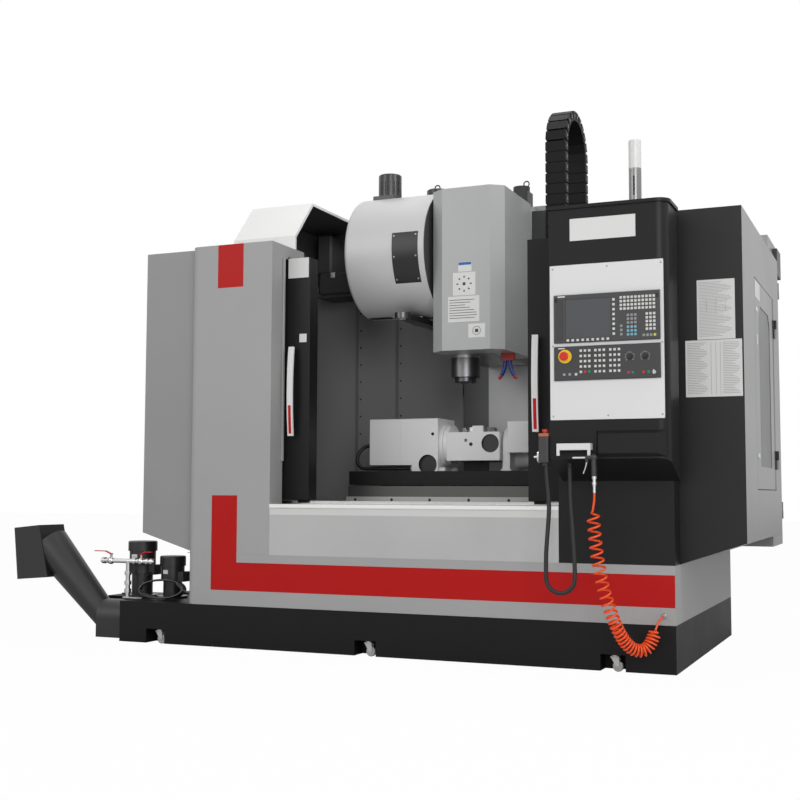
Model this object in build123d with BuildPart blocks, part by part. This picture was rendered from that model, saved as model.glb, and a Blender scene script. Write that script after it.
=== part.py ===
from build123d import *
import os
from math import atan2, cos, degrees, hypot, pi, radians, sin, sqrt, tan

os.makedirs("parts", exist_ok=True)

# Vertical machining centre, millimetres. X runs to the right along the front, Y runs into the
# machine, Z is up. The origin is on the floor, under the spindle axis and the middle of the table.

# Sheet metal and gaps
sheet = 3.0
running_gap = 0.3
bearing_gap = 0.05
through = 1.0

# Base
base_half = 1300.0
front_y = -800.0
back_y = 905.0
tank_clear = 6.0
tank_top = 225.0
tank_left = -base_half - 423.0
sump_left = tank_left - 270.0
sump_front = -541.0
sump_back = -250.0
skirt_top = 494.0
front_round = 50.0
flange_width = 60.0
edge_round = 6.0

# Bed and column castings
bed_half = 420.0
bed_front = -535.0
bed_back = 1330.0
bed_top = 500.0
foot_height = 60.0
foot_radius = 50.0
foot_screw_radius = 12.0
foot_pad = 25.0
bay_gap = 30.0
rail_width = 45.0
rail_height = 45.0
bed_rail_x = 300.0
bed_rail_back = 600.0
column_front = 650.0
column_half = 350.0
column_foot_half = 400.0
column_foot_top = 900.0
column_top = 2560.0
column_back_top = 1150.0
column_rail_x = 200.0
column_rail_height = 35.0

# Enclosure
enclosure_top = 2150.0
sill_top = 759.0
sill_depth = 248.0
sill_left = 505.0 - base_half
sill_right = base_half - 542.0
slot_front = -668.0
slot_top = 2080.0
header_back = -441.0
left_wing_x = -base_half - 336.0
left_wing_front = -724.0
right_wing_x = base_half + 302.0
right_wing_front = -680.0
wing_back = 822.0
wing_bottom = 596.0
wall_y = 620.0
wall_top = 2150.0
pan_high = 787.0
pan_low = 520.0
pan_inner = 640.0
cover_half = 238.0
cover_slot = 245.0
fixed_cover_y = 612.0
fixed_cover_top = 1400.0

# Hood over the left half of the work area
hood_left = 55.0 - base_half
hood_right = -850.0
hood_front_height = 2252.0
hood_height = 2480.0
hood_ridge_y = -236.0
hood_rim = 15.0

# Sliding doors
door_front = -650.0
door_depth = 90.0
door_width = 800.0
door_bottom = 780.0
door_top = 2075.0
door_sheet = 4.0
left_door_edge = -645.0
right_door_edge = 564.0
window_width = 530.0
window_bottom = 1050.0
window_top = 1850.0
window_round = 40.0
window_offset = 205.0
pane = 6.0
rail_rib = 6.0
rib_y = -605.0
rail_base = 40.0
shoe_length = 60.0
handle_offset = 92.0
right_handle_offset = 49.0
handle_low = 1120.0
handle_high = 1591.0
handle_width = 32.0
handle_standoff = 40.0
handle_bow = 14.0

# Side door in the right wing
side_door_front = -250.0
side_door_back = 560.0
side_door_bottom = 842.0
side_door_top = 1884.0
side_door_thick = 27.0
side_door_gap = 4.0
side_hinge_x = right_wing_x + 9.0
side_hinge_y = 562.0
side_window_front = -100.0
side_window_back = 370.0
side_window_bottom = 955.0
side_window_top = 1767.0
side_window_chamfer = 60.0
knuckle_radius = 8.0
pin_radius = 4.0
knuckle_length = 50.0

# Electrical cabinet
cabinet_left = 430.0
cabinet_right = 1550.0
cabinet_front = 830.0
cabinet_back = 1330.0
cabinet_bottom = 520.0
cabinet_top = 2313.0
cabinet_wall = 20.0
cabinet_door_thick = 20.0

# Control box
box_left = 783.0
box_right = 1327.0
box_front = -1030.0
box_bottom_front = 975.0
box_bottom_back = 878.0
box_top = 2119.0
box_round = 50.0
lid_height = 16.0
lid_overhang = 8.0
tray_left = 1000.0
tray_low = 945.0
tray_high = 1100.0
tray_depth = 24.0
tray_bevel_x = 50.0
tray_bevel_z = 30.0
plate_left = 789.0
plate_right = 1318.0
plate_low = 1151.0
plate_high = 1859.0
plate_thick = 3.0
unit_left = 810.0
unit_width = 483.0
unit_thick = 12.0
display_low = 1500.0
display_height = 220.0
panel_low = 1329.0
panel_height = 155.0
screen_left = 863.0
screen_right = 1073.0
screen_low = 1520.0
screen_high = 1699.0
key_size = 11.0
key_height = 1.6
key_pitch = 16.4
e_stop_x = 862.0
e_stop_z = 1438.0
e_stop_radius = 20.0
knob_z = 1427.0
feed_knob_x = 1158.0
spindle_knob_x = 1226.0
knob_radius = 11.0
lamp_x = 1148.0
lamp_y = -847.0
lamp_radius = 29.0
lamp_top = 2459.0

# Saddle and table
saddle_half_x = 612.0
saddle_half_y = 262.0
saddle_low = 600.0
saddle_top = 797.0
table_half_x = 600.0
table_half_y = 250.0
table_low = 861.0
table_top = 937.0
table_rail_y = 150.0
table_rail_height = 38.0
slot_width = 18.0
slot_depth = 30.0
slot_wide = 30.0
slot_wide_height = 12.0
slot_pitch = 100.0

# Tilting rotary table
tilt_z = 1085.0
rotary_half_y = 130.0
motor_left = -529.0
motor_low = 973.0
gear_left = -272.0
gear_right = -116.0
rotary_top = 1231.0
face_radius = 118.0
face_right = -95.0
cradle_right = 237.0
cradle_flange = 25.0
cradle_half_y = 115.0
cradle_low = 996.0
cradle_top = 1152.0
journal_radius = 60.0
tail_journal_radius = 35.0
platter_x = 84.0
platter_radius = 97.0
platter_height = 28.0
platter_stub = 40.0
tail_left = 246.0
tail_right = 287.0
tail_half_y = 90.0
tail_box_right = 480.0

# Head and spindle
head_left = -98.0
head_flat_left = -27.0
head_flat_right = 247.0
head_right = 314.0
head_front = -297.0
head_corner_y = -246.0
head_back = 225.0
head_low = 1583.0
head_top = 2470.0
casting_left = -88.0
casting_right = 190.0
carriage_half = 230.0
carriage_back = 612.0
carriage_front = 560.0
carriage_low = 1600.0
carriage_top = 2150.0
cartridge_radius = 80.0
cartridge_low = 1462.0
spindle_radius = 44.0
spindle_low = 1435.0
taper_radius = 22.2
taper_length = 65.0

# Tool magazine and changer arm
drum_left = -600.0
drum_right = -112.0
drum_radius = 347.0
drum_z = 2165.0
drum_wall = 4.0
drum_round = 25.0
disc_left = -585.0
disc_right = -440.0
pot_count = 24
pot_circle = 285.0
pot_radius = 31.0
pot_length = 120.0
hub_radius = 30.0
cam_left = -400.0
cam_right = -130.0
cam_front = -110.0
cam_back = 430.0
cam_low = 1870.0
cam_high = 2330.0
arm_x = -270.0
arm_span = 270.0
arm_low = 1774.0
arm_high = 1806.0
sleeve_radius = 38.0
arm_drop = 115.0
magazine_motor_x = -466.0
magazine_motor_radius = 67.0
magazine_motor_top = 2659.0

# Energy chain of the vertical axis
chain_left = 402.0
chain_right = 523.0
chain_front = 253.0
chain_back = 700.0
chain_height = 56.0
chain_top = 3055.0
chain_head_end = 2210.0
chain_fixed_end = 1700.0
link_pitch = 60.0
link_length = 50.0
link_inset = 5.0

# Chip conveyor, pumps and pipes
tube_y = -647.0
tube_low_radius = 64.0
tube_high_radius = 108.0
tube_wall = 4.0
tube_top_x = tank_left - 607.0
tube_top_z = 518.0
tube_low_x = tank_left - 125.0
tube_low_z = 40.0
trough_left = tank_left - 198.0
trough_half = 100.0
trough_low = 14.0
trough_spring = 118.0
outlet_top_left = (tank_left - 778.0, 610.0)
outlet_low_left = (tank_left - 747.0, 316.0)
outlet_low_right = (tank_left - 533.0, 333.0)
outlet_top_right = (tank_left - 602.0, 628.0)
outlet_half = 110.0
screw_shaft_radius = 18.0
screw_radius = 62.0
screw_pitch = 110.0
screw_blade = 6.0
pump_y = -520.0
pump_xs = (-1775.0, -1570.0)
pump_tops = (540.0, 460.0)
pump_radius = 82.0
manifold_y = -640.0
manifold_z = 431.0
manifold_left = -1968.0
manifold_right = -1612.0
pipe_radius = 13.0
valve_xs = (-1905.0, -1700.0)

# Casters of the coolant tank
caster_xs = (-1490.0, -243.0, 1010.0)
caster_y = -752.0
caster_radius = 25.0
caster_width = 20.0
caster_trail = 14.0
axle_radius = 4.0
recess_width = 117.0
recess_depth = 96.0
recess_top = 82.0

# Air gun, its bracket and the hand-wheel pendant
bracket_left = 828.0
bracket_right = 983.0
bracket_low = 988.0
bracket_web = 1014.0
bracket_high = 1043.0
bracket_depth = 46.0
gun_x = 1001.0
gun_y = -1062.0
barrel_z = 978.0
barrel_tip = 905.0
trigger_x = 970.0
trigger_z = 962.0
pendant_x = 757.0
pendant_y = -1010.0
pendant_low = 960.0
pendant_high = 1092.0
dial_z = 985.0
dial_radius = 27.0
cable_radius = 10.5
hose_radius = 5.0
rotary_hose_radius = 11.0
coil_radius = 33.0
cable_gland_x = 862.0
cable_gland_y = -977.0
cable_gland_z = 942.0
fitting_x = 1246.0
fitting_z = 266.0


def limits_box(x, y, z, mode=Mode.ADD):
    """A box between three pairs of limits."""
    with Locations(((x[0] + x[1]) / 2, (y[0] + y[1]) / 2, (z[0] + z[1]) / 2)):
        Box(x[1] - x[0], y[1] - y[0], z[1] - z[0], mode=mode)


AXIS_TURN = {"X": (0, 90, 0), "Y": (-90, 0, 0), "Z": (0, 0, 0)}


def rod(start, axis, radius, length, mode=Mode.ADD):
    """A cylinder that starts at a point and runs along a positive axis."""
    with Locations(Location(start, AXIS_TURN[axis])):
        Cylinder(radius, length, align=(Align.CENTER, Align.CENTER, Align.MIN), mode=mode)


def front_plane(y):
    """A plane whose sketch shows X and Z and whose extrusion runs towards the front."""
    return Plane.XZ.offset(-y)


def side_plane(x):
    """A plane whose sketch shows Y and Z and whose extrusion runs to the right."""
    return Plane.YZ.offset(x)


def save(name, label):
    """Label a finished piece and write its file."""
    name.part.label = label
    export_step(name.part, f"parts/{label}.step")


# Coolant tank, a low U round the bed with a sump at its left end and rigid caster forks
with BuildPart() as coolant_tank:
    limits_box((tank_left, base_half), (front_y, back_y), (tank_clear, tank_top))
    limits_box((sump_left, tank_left), (sump_front, sump_back), (tank_clear + 8, tank_top))
    limits_box((-bed_half - bay_gap, bed_half + bay_gap), (bed_front - bay_gap, back_y + through),
               (0, tank_top + through), Mode.SUBTRACT)
    for x in caster_xs:
        limits_box((x - recess_width / 2, x + recess_width / 2),
                   (front_y - through, front_y + recess_depth), (0, recess_top), Mode.SUBTRACT)
    for x in caster_xs:
        fork = caster_width / 2 + 1.5
        limits_box((x - 30, x + 30), (caster_y - 30, caster_y + 30), (recess_top - 4, recess_top))
        rod((x, caster_y, recess_top - 14), "Z", 18, 10)
        for side in (-1, 1):
            with BuildSketch(front_plane(caster_y + side * (fork + 1.5) + 1.5)):
                with BuildLine():
                    Polyline((x - 20, recess_top - 12), (x + 20, recess_top - 12),
                             (x + caster_trail + 9, caster_radius), (x + caster_trail - 9, caster_radius),
                             (x - 20, recess_top - 12))
                make_face()
            extrude(amount=3)
        limits_box((x - 20, x + 20), (caster_y - fork - 3, caster_y + fork + 3),
                   (recess_top - 18, recess_top - 12))
        rod((x + caster_trail, caster_y - fork, caster_radius), "Y", axle_radius, 2 * fork)
    limits_box((tank_left + 24, -base_half - 40), (-300, 320), (tank_top, tank_top + 8))
    rod((sump_left + 62, sump_front + 120, tank_top), "Z", 46, 7)
save(coolant_tank, "coolant_tank")

# Caster wheels, each with a hub and a rounded tread, on the pin of its fork
for number, x in enumerate(caster_xs, start=1):
    with BuildPart() as wheel:
        with BuildSketch(Plane(origin=(x + caster_trail, caster_y, caster_radius),
                               x_dir=(1, 0, 0), z_dir=(0, -1, 0))):
            Circle(caster_radius)
            Circle(axle_radius + bearing_gap, mode=Mode.SUBTRACT)
        extrude(amount=caster_width / 2, both=True)
        fillet(wheel.edges().filter_by(GeomType.CIRCLE).group_by(SortBy.RADIUS)[-1], 4)
    save(wheel, f"caster_wheel_{number}")

# Bed casting with its guideways, side pockets and levelling feet
with BuildPart() as bed:
    limits_box((-bed_half, bed_half), (bed_front, bed_back), (foot_height, bed_top))
    pocket_pitch = (bed_back - bed_front) / 6
    for step in range(6):
        middle = bed_front + pocket_pitch * (step + 0.5)
        for side in (-1, 1):
            limits_box(sorted((side * bed_half, side * (bed_half - 60))),
                       (middle - pocket_pitch * 0.36, middle + pocket_pitch * 0.36),
                       (foot_height + 50, bed_top - 60), Mode.SUBTRACT)
    for side in (-1, 1):
        rail = side * bed_rail_x
        limits_box((rail - rail_width / 2, rail + rail_width / 2), (bed_front + 15, bed_rail_back),
                   (bed_top, bed_top + rail_height))
        for y in (bed_front + 90, bed_front + 560, 500, 900, bed_back - 90):
            rod((side * (bed_half - 60), y, 0), "Z", foot_radius, foot_pad)
            rod((side * (bed_half - 60), y, foot_pad), "Z", foot_screw_radius, foot_height - foot_pad)
    rod((0, 0, 0), "Z", foot_radius, foot_pad)
    rod((0, 0, foot_pad), "Z", foot_screw_radius, foot_height - foot_pad)
save(bed, "bed")

# Base skirt, a folded shell with one large rounded front edge and an inward top flange
with BuildPart() as base_skirt:
    with BuildSketch(Plane.XY.offset(tank_top)) as skirt_plan:
        with Locations((0, (front_y + back_y) / 2)):
            Rectangle(2 * base_half, back_y - front_y)
        left_front = skirt_plan.vertices().group_by(Axis.Y)[0].sort_by(Axis.X)[0]
        fillet(left_front, front_round)
        offset(amount=-sheet, mode=Mode.SUBTRACT)
    extrude(amount=skirt_top - tank_top)
    with BuildSketch(Plane.XY.offset(skirt_top - sheet)) as flange_plan:
        with Locations((0, (front_y + back_y) / 2)):
            Rectangle(2 * base_half, back_y - front_y)
        fillet(flange_plan.vertices().group_by(Axis.Y)[0].sort_by(Axis.X)[0], front_round)
        with Locations((0, (front_y + back_y) / 2)):
            Rectangle(2 * (base_half - flange_width), back_y - front_y - 2 * flange_width,
                      mode=Mode.SUBTRACT)
    extrude(amount=sheet)
    limits_box((-bed_half - 10, bed_half + 10), (back_y - flange_width - through, back_y + through),
               (tank_top - through, skirt_top + through), Mode.SUBTRACT)
    rod((fitting_x, front_y - 14, fitting_z), "Y", 9, 14)
save(base_skirt, "base_skirt")

# Front sill between the columns, with a bright lip along its top and a return at its right end
with BuildPart() as front_sill:
    sill_back = front_y + sill_depth
    limits_box((sill_left, sill_right), (front_y, sill_back), (skirt_top, sill_top))
    limits_box((sill_left + sheet, sill_right - sheet), (front_y + sheet, sill_back - sheet),
               (skirt_top - through, sill_top - sheet), Mode.SUBTRACT)
    limits_box((sill_left, sill_right), (front_y - 4, front_y), (sill_top - 22, sill_top))
    limits_box((sill_right - 30, sill_right), (front_y - 3, front_y), (skirt_top, sill_top - 22))
save(front_sill, "front_sill")

# Door track, a flat rail with a rib on the sill and two hung rails inside the columns
with BuildPart() as door_track:
    left_end = left_door_edge - door_width - 10
    right_end = right_door_edge + door_width + 10
    limits_box((left_end, right_end), (rib_y - rail_base / 2, rib_y + rail_base / 2),
               (sill_top, sill_top + 4))
    limits_box((left_end, right_end), (rib_y - rail_rib / 2, rib_y + rail_rib / 2),
               (sill_top + 4, sill_top + 16))
    for low, high in ((left_end, sill_left - 10), (sill_right + 10, right_end)):
        limits_box((low, high), (rib_y - rail_rib / 2, rib_y + rail_rib / 2),
                   (door_top + 3, door_top + 13))
        limits_box((low, high), (rib_y - rail_base / 2, rib_y + rail_base / 2),
                   (door_top + 13, door_top + 17))
        for x in (low + 60, high - 60):
            limits_box((x - 30, x + 30), (rib_y - 10, rib_y + 10),
                       (door_top + 17, enclosure_top - sheet))
save(door_track, "door_track")

# Left front column, a sheet C with one large rounded edge, a top cap and a slot for the door
with BuildPart() as left_column:
    with BuildSketch(Plane.XY.offset(skirt_top)) as column_plan:
        with Locations(((-base_half + sill_left) / 2, front_y + sill_depth / 2)):
            Rectangle(base_half + sill_left, sill_depth)
        fillet(column_plan.vertices().group_by(Axis.Y)[0].sort_by(Axis.X)[0], front_round)
        offset(amount=-sheet, mode=Mode.SUBTRACT)
    extrude(amount=enclosure_top - sheet - skirt_top)
    limits_box((-base_half - through, sill_left + through), (slot_front, sill_back + through),
               (skirt_top + sheet, enclosure_top), Mode.SUBTRACT)
    limits_box((-base_half - through, -base_half + sheet + through), (left_wing_front, slot_front),
               (skirt_top + sheet, enclosure_top), Mode.SUBTRACT)
    with BuildSketch(Plane.XY.offset(enclosure_top - sheet)) as cap_plan:
        with Locations(((-base_half + sill_left) / 2, (front_y + header_back) / 2)):
            Rectangle(base_half + sill_left, header_back - front_y)
        fillet(cap_plan.vertices().group_by(Axis.Y)[0].sort_by(Axis.X)[0], front_round)
    extrude(amount=sheet)
    limits_box((sill_left - sheet, sill_left), (slot_front, header_back),
               (slot_top, enclosure_top - sheet))
    limits_box((sill_left - sheet - through, sill_left + through), (rib_y - 22, rib_y + 22),
               (slot_top - through, slot_top + 12), Mode.SUBTRACT)
    limits_box((-base_half + sheet, sill_left - sheet), (front_y + sheet, sill_back - sheet),
               (skirt_top, skirt_top + sheet))
    with BuildSketch(Plane.XY.offset(985)) as seal_plan:
        with Locations((sill_left + 5, slot_front - 10)):
            RectangleRounded(10, 20, 4)
    extrude(amount=slot_top - 985)
save(left_column, "left_column")

# Right front column behind the control box, square at its edges
with BuildPart() as right_column:
    limits_box((sill_right, base_half), (front_y, sill_back), (skirt_top, enclosure_top))
    limits_box((sill_right + sheet, base_half - sheet), (front_y + sheet, sill_back + through),
               (skirt_top + sheet, enclosure_top - sheet), Mode.SUBTRACT)
    limits_box((sill_right - through, sill_right + sheet + through), (slot_front, sill_back + through),
               (skirt_top + sheet, slot_top), Mode.SUBTRACT)
    limits_box((sill_right - through, sill_right + sheet + through), (rib_y - 22, rib_y + 22),
               (slot_top - through, slot_top + 12), Mode.SUBTRACT)
    limits_box((base_half - sheet - through, base_half + through), (right_wing_front, sill_back + through),
               (skirt_top + sheet, enclosure_top - sheet), Mode.SUBTRACT)
save(right_column, "right_column")

# Left wing, the side of the work area, with a floor that slopes inward and a flat roof strip
with BuildPart() as left_wing:
    limits_box((left_wing_x, -base_half), (left_wing_front, wing_back), (skirt_top, enclosure_top))
    limits_box((left_wing_x + sheet, -base_half + through), (left_wing_front + sheet, wing_back - sheet),
               (skirt_top - through, enclosure_top + through), Mode.SUBTRACT)
    with BuildSketch(front_plane(wing_back + through)):
        with BuildLine():
            Polyline((-base_half, skirt_top), (left_wing_x, wing_bottom), (left_wing_x - 10, wing_bottom),
                     (left_wing_x - 10, skirt_top - 10), (-base_half, skirt_top - 10),
                     (-base_half, skirt_top))
        make_face()
    extrude(amount=wing_back - left_wing_front + 2 * through, mode=Mode.SUBTRACT)
    with BuildSketch(front_plane(wing_back)):
        with BuildLine():
            Polyline((-base_half, skirt_top), (left_wing_x, wing_bottom), (left_wing_x, wing_bottom + sheet),
                     (-base_half, skirt_top + sheet), (-base_half, skirt_top))
        make_face()
    extrude(amount=wing_back - left_wing_front)
    limits_box((-base_half, -base_half + flange_width), (sill_back + 2, wing_back),
               (skirt_top, skirt_top + sheet))
    limits_box((left_wing_x, -base_half), (left_wing_front, wing_back), (enclosure_top - sheet, enclosure_top))
    limits_box((-base_half, hood_left + 5), (header_back + 2, wing_back), (enclosure_top - sheet, enclosure_top))
save(left_wing, "left_wing")

# Right wing with the opening of the side door and the fixed leaves of its hinges
hinge_zs = (side_door_bottom + 160, side_door_top - 160)
with BuildPart() as right_wing:
    limits_box((base_half, right_wing_x), (right_wing_front, wing_back), (skirt_top, enclosure_top))
    limits_box((base_half - through, right_wing_x - sheet), (right_wing_front + sheet, wing_back - sheet),
               (skirt_top - through, enclosure_top + through), Mode.SUBTRACT)
    with BuildSketch(front_plane(wing_back + through)):
        with BuildLine():
            Polyline((base_half, skirt_top), (right_wing_x, wing_bottom), (right_wing_x + 10, wing_bottom),
                     (right_wing_x + 10, skirt_top - 10), (base_half, skirt_top - 10),
                     (base_half, skirt_top))
        make_face()
    extrude(amount=wing_back - right_wing_front + 2 * through, mode=Mode.SUBTRACT)
    with BuildSketch(front_plane(wing_back)):
        with BuildLine():
            Polyline((base_half, skirt_top), (right_wing_x, wing_bottom), (right_wing_x, wing_bottom + sheet),
                     (base_half, skirt_top + sheet), (base_half, skirt_top))
        make_face()
    extrude(amount=wing_back - right_wing_front)
    limits_box((base_half - flange_width, base_half), (sill_back + 2, wing_back),
               (skirt_top, skirt_top + sheet))
    limits_box((base_half, right_wing_x), (right_wing_front, wing_back), (enclosure_top - sheet, enclosure_top))
    limits_box((right_wing_x - sheet - through, right_wing_x + through),
               (side_door_front - side_door_gap, side_door_back + side_door_gap),
               (side_door_bottom - side_door_gap, side_door_top + side_door_gap), Mode.SUBTRACT)
    for z in hinge_zs:
        limits_box((right_wing_x, right_wing_x + 3), (side_door_back + side_door_gap + 2, side_door_back + 50),
                   (z - knuckle_length, z))
        limits_box((right_wing_x, side_hinge_x), (side_hinge_y + 5, side_hinge_y + 9), (z - knuckle_length, z))
        rod((side_hinge_x, side_hinge_y, z - knuckle_length), "Z", knuckle_radius, knuckle_length)
        rod((side_hinge_x, side_hinge_y, z), "Z", pin_radius, knuckle_length)
save(right_wing, "right_wing")

# Side door, a framed leaf with a window whose top corners are cut and a hand hole catch
with BuildPart() as side_door:
    door_out = right_wing_x
    door_in = right_wing_x - side_door_thick
    limits_box((door_in, door_out), (side_door_front, side_door_back), (side_door_bottom, side_door_top))
    limits_box((door_in - through, door_out - sheet),
               (side_door_front + 20, side_door_back - 20), (side_door_bottom + 20, side_door_top - 20),
               Mode.SUBTRACT)
    with BuildSketch(side_plane(door_in - through)):
        with BuildLine():
            Polyline((side_window_front, side_window_bottom), (side_window_back, side_window_bottom),
                     (side_window_back, side_window_top - side_window_chamfer),
                     (side_window_back - side_window_chamfer, side_window_top),
                     (side_window_front + side_window_chamfer, side_window_top),
                     (side_window_front, side_window_top - side_window_chamfer),
                     (side_window_front, side_window_bottom))
        make_face()
    extrude(amount=side_door_thick + 2 * through, mode=Mode.SUBTRACT)
    with BuildSketch(side_plane(door_out - sheet - pane)):
        with Locations(((side_window_front + side_window_back) / 2,
                        (side_window_bottom + side_window_top) / 2)):
            Rectangle(side_window_back - side_window_front + 40, side_window_top - side_window_bottom + 40)
    extrude(amount=pane)
    for z in hinge_zs:
        limits_box((door_out, door_out + 3), (side_door_back - 44, side_hinge_y - 3), (z + 1, z + knuckle_length))
        limits_box((door_out, side_hinge_x), (side_hinge_y - 7, side_hinge_y - 3), (z + 1, z + knuckle_length))
        rod((side_hinge_x, side_hinge_y, z + 1), "Z", knuckle_radius, knuckle_length - 1)
        rod((side_hinge_x, side_hinge_y, z), "Z", pin_radius + bearing_gap, knuckle_length + 1, Mode.SUBTRACT)
    for z in (1004.0, 1729.0):
        rod((door_out, -199, z), "X", 14, 6)
save(side_door, "side_door")

# Work area lining: rear walls, the fixed half of the column cover and two sloping chip pans
with BuildPart() as work_area_lining:
    roof_under = enclosure_top - sheet
    for low, high, top in ((left_wing_x + sheet, hood_left + 5, roof_under), (hood_left + 5, -cover_slot, wall_top),
                           (cover_slot, base_half, wall_top), (base_half, right_wing_x - sheet, roof_under)):
        limits_box((low, high), (wall_y, wall_y + sheet), (wing_bottom + 10, top))
    limits_box((-cover_slot, cover_slot), (wall_y, wall_y + sheet), (bed_top + rail_height + 20, pan_high))
    limits_box((-cover_half, cover_half), (fixed_cover_y, fixed_cover_y + sheet), (pan_high - 40, fixed_cover_top))
    for side in (-1, 1):
        limits_box(sorted((side * cover_half, side * cover_slot)),
                   (fixed_cover_y, wall_y + sheet), (pan_high - 40, fixed_cover_top))
    limits_box((-cover_half, cover_half), (fixed_cover_y, wall_y), (pan_high - 40, pan_high - 37))
    for side in (-1, 1):
        limits_box(sorted((side * 270, side * 330)), (wall_y + sheet, column_front), (1000, 1060))
    for low, high in ((-base_half + sheet, -pan_inner), (pan_inner, base_half - sheet)):
        with BuildSketch(side_plane(low)):
            with BuildLine():
                Polyline((wall_y, pan_high), (sill_back, pan_low), (sill_back, pan_low - sheet),
                         (wall_y, pan_high - sheet), (wall_y, pan_high))
            make_face()
        extrude(amount=high - low)
save(work_area_lining, "work_area_lining")

# Column casting with its guideways, the lift motor on top and the brackets on its right side
with BuildPart() as column:
    with BuildSketch(front_plane(bed_back)):
        with BuildLine():
            Polyline((-column_foot_half, bed_top), (column_foot_half, bed_top), (column_foot_half, bed_top + 120),
                     (column_half, column_foot_top), (column_half, column_top), (-column_half, column_top),
                     (-column_half, column_foot_top), (-column_foot_half, bed_top + 120),
                     (-column_foot_half, bed_top))
        make_face()
    extrude(amount=bed_back - column_front)
    with BuildSketch(side_plane(-column_foot_half - through)):
        with BuildLine():
            Polyline((bed_back, bed_top + 120), (bed_back + 10, bed_top + 120), (bed_back + 10, column_top + 10),
                     (column_back_top, column_top + 10), (column_back_top, column_top),
                     (bed_back, bed_top + 120))
        make_face()
    extrude(amount=2 * column_foot_half + 2 * through, mode=Mode.SUBTRACT)
    for side in (-1, 1):
        rail = side * column_rail_x
        limits_box((rail - rail_width / 2, rail + rail_width / 2),
                   (column_front - column_rail_height, column_front), (fixed_cover_top + 5, column_top - 10))
    lift_motor = (80.0, 800.0)
    limits_box((lift_motor[0] - 75, lift_motor[0] + 75), (lift_motor[1] - 75, lift_motor[1] + 75),
               (column_top, column_top + 20))
    limits_box((lift_motor[0] - 56, lift_motor[0] + 56), (lift_motor[1] - 56, lift_motor[1] + 56),
               (column_top + 20, column_top + 130))
    rod((lift_motor[0], lift_motor[1], column_top + 130), "Z", 52, 35)
    for z in (900.0, 1900.0):
        limits_box((column_half - 20, cabinet_left), (cabinet_front + 120, cabinet_front + 240), (z, z + 60))
    limits_box((column_half - 20, chain_right + 6), (chain_back - chain_height / 2 - 6, chain_back + chain_height / 2 + 6),
               (chain_fixed_end - 20, chain_fixed_end))
save(column, "column")

# Electrical cabinet behind the right wing, open at its back, with a mounting plate and a fan box
with BuildPart() as electrical_cabinet:
    limits_box((cabinet_left, cabinet_right), (cabinet_front, cabinet_back), (cabinet_bottom, cabinet_top))
    limits_box((cabinet_left + cabinet_wall, cabinet_right - cabinet_wall),
               (cabinet_front + cabinet_wall, cabinet_back + through),
               (cabinet_bottom + cabinet_wall, cabinet_top - cabinet_wall), Mode.SUBTRACT)
    plate_y = cabinet_front + cabinet_wall
    with Locations((0, 0, 0)):
        for column_x in (560.0, 760.0, 960.0, 1160.0, 1360.0):
            for row_z, height in ((760.0, 260.0), (1180.0, 300.0), (1660.0, 320.0), (2080.0, 180.0)):
                limits_box((column_x - 70, column_x + 70), (plate_y, plate_y + 150),
                           (row_z - height / 2, row_z + height / 2))
    limits_box((cabinet_right, cabinet_right + 30), (1040, 1230), (2110, 2270))
    cabinet_hinge_x = cabinet_right - 4
    cabinet_hinge_y = cabinet_back + cabinet_door_thick + 9
    for z in (cabinet_bottom + 200, cabinet_top - 250):
        limits_box((cabinet_right - 1, cabinet_right + 5), (cabinet_back - 40, cabinet_hinge_y), (z - knuckle_length, z))
        rod((cabinet_hinge_x, cabinet_hinge_y, z - knuckle_length), "Z", knuckle_radius, knuckle_length)
        rod((cabinet_hinge_x, cabinet_hinge_y, z), "Z", pin_radius, knuckle_length)
save(electrical_cabinet, "electrical_cabinet")

# Cabinet door, a shallow pan with its half of the hinges and a swing handle
with BuildPart() as cabinet_door:
    limits_box((cabinet_left + 6, cabinet_right - 8), (cabinet_back + running_gap, cabinet_back + cabinet_door_thick),
               (cabinet_bottom + 6, cabinet_top - 6))
    limits_box((cabinet_left + 36, cabinet_right - 38), (cabinet_back, cabinet_back + cabinet_door_thick - sheet),
               (cabinet_bottom + 36, cabinet_top - 36), Mode.SUBTRACT)
    for z in (cabinet_bottom + 200, cabinet_top - 250):
        limits_box((cabinet_right - 40, cabinet_hinge_x), (cabinet_back + cabinet_door_thick, cabinet_hinge_y - 2),
                   (z + 1, z + knuckle_length))
        rod((cabinet_hinge_x, cabinet_hinge_y, z + 1), "Z", knuckle_radius, knuckle_length - 1)
        rod((cabinet_hinge_x, cabinet_hinge_y, z), "Z", pin_radius + bearing_gap, knuckle_length + 1, Mode.SUBTRACT)
    limits_box((cabinet_left + 50, cabinet_left + 80), (cabinet_back + cabinet_door_thick, cabinet_back + cabinet_door_thick + 26),
               (1340, 1500))
save(cabinet_door, "cabinet_door")

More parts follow.
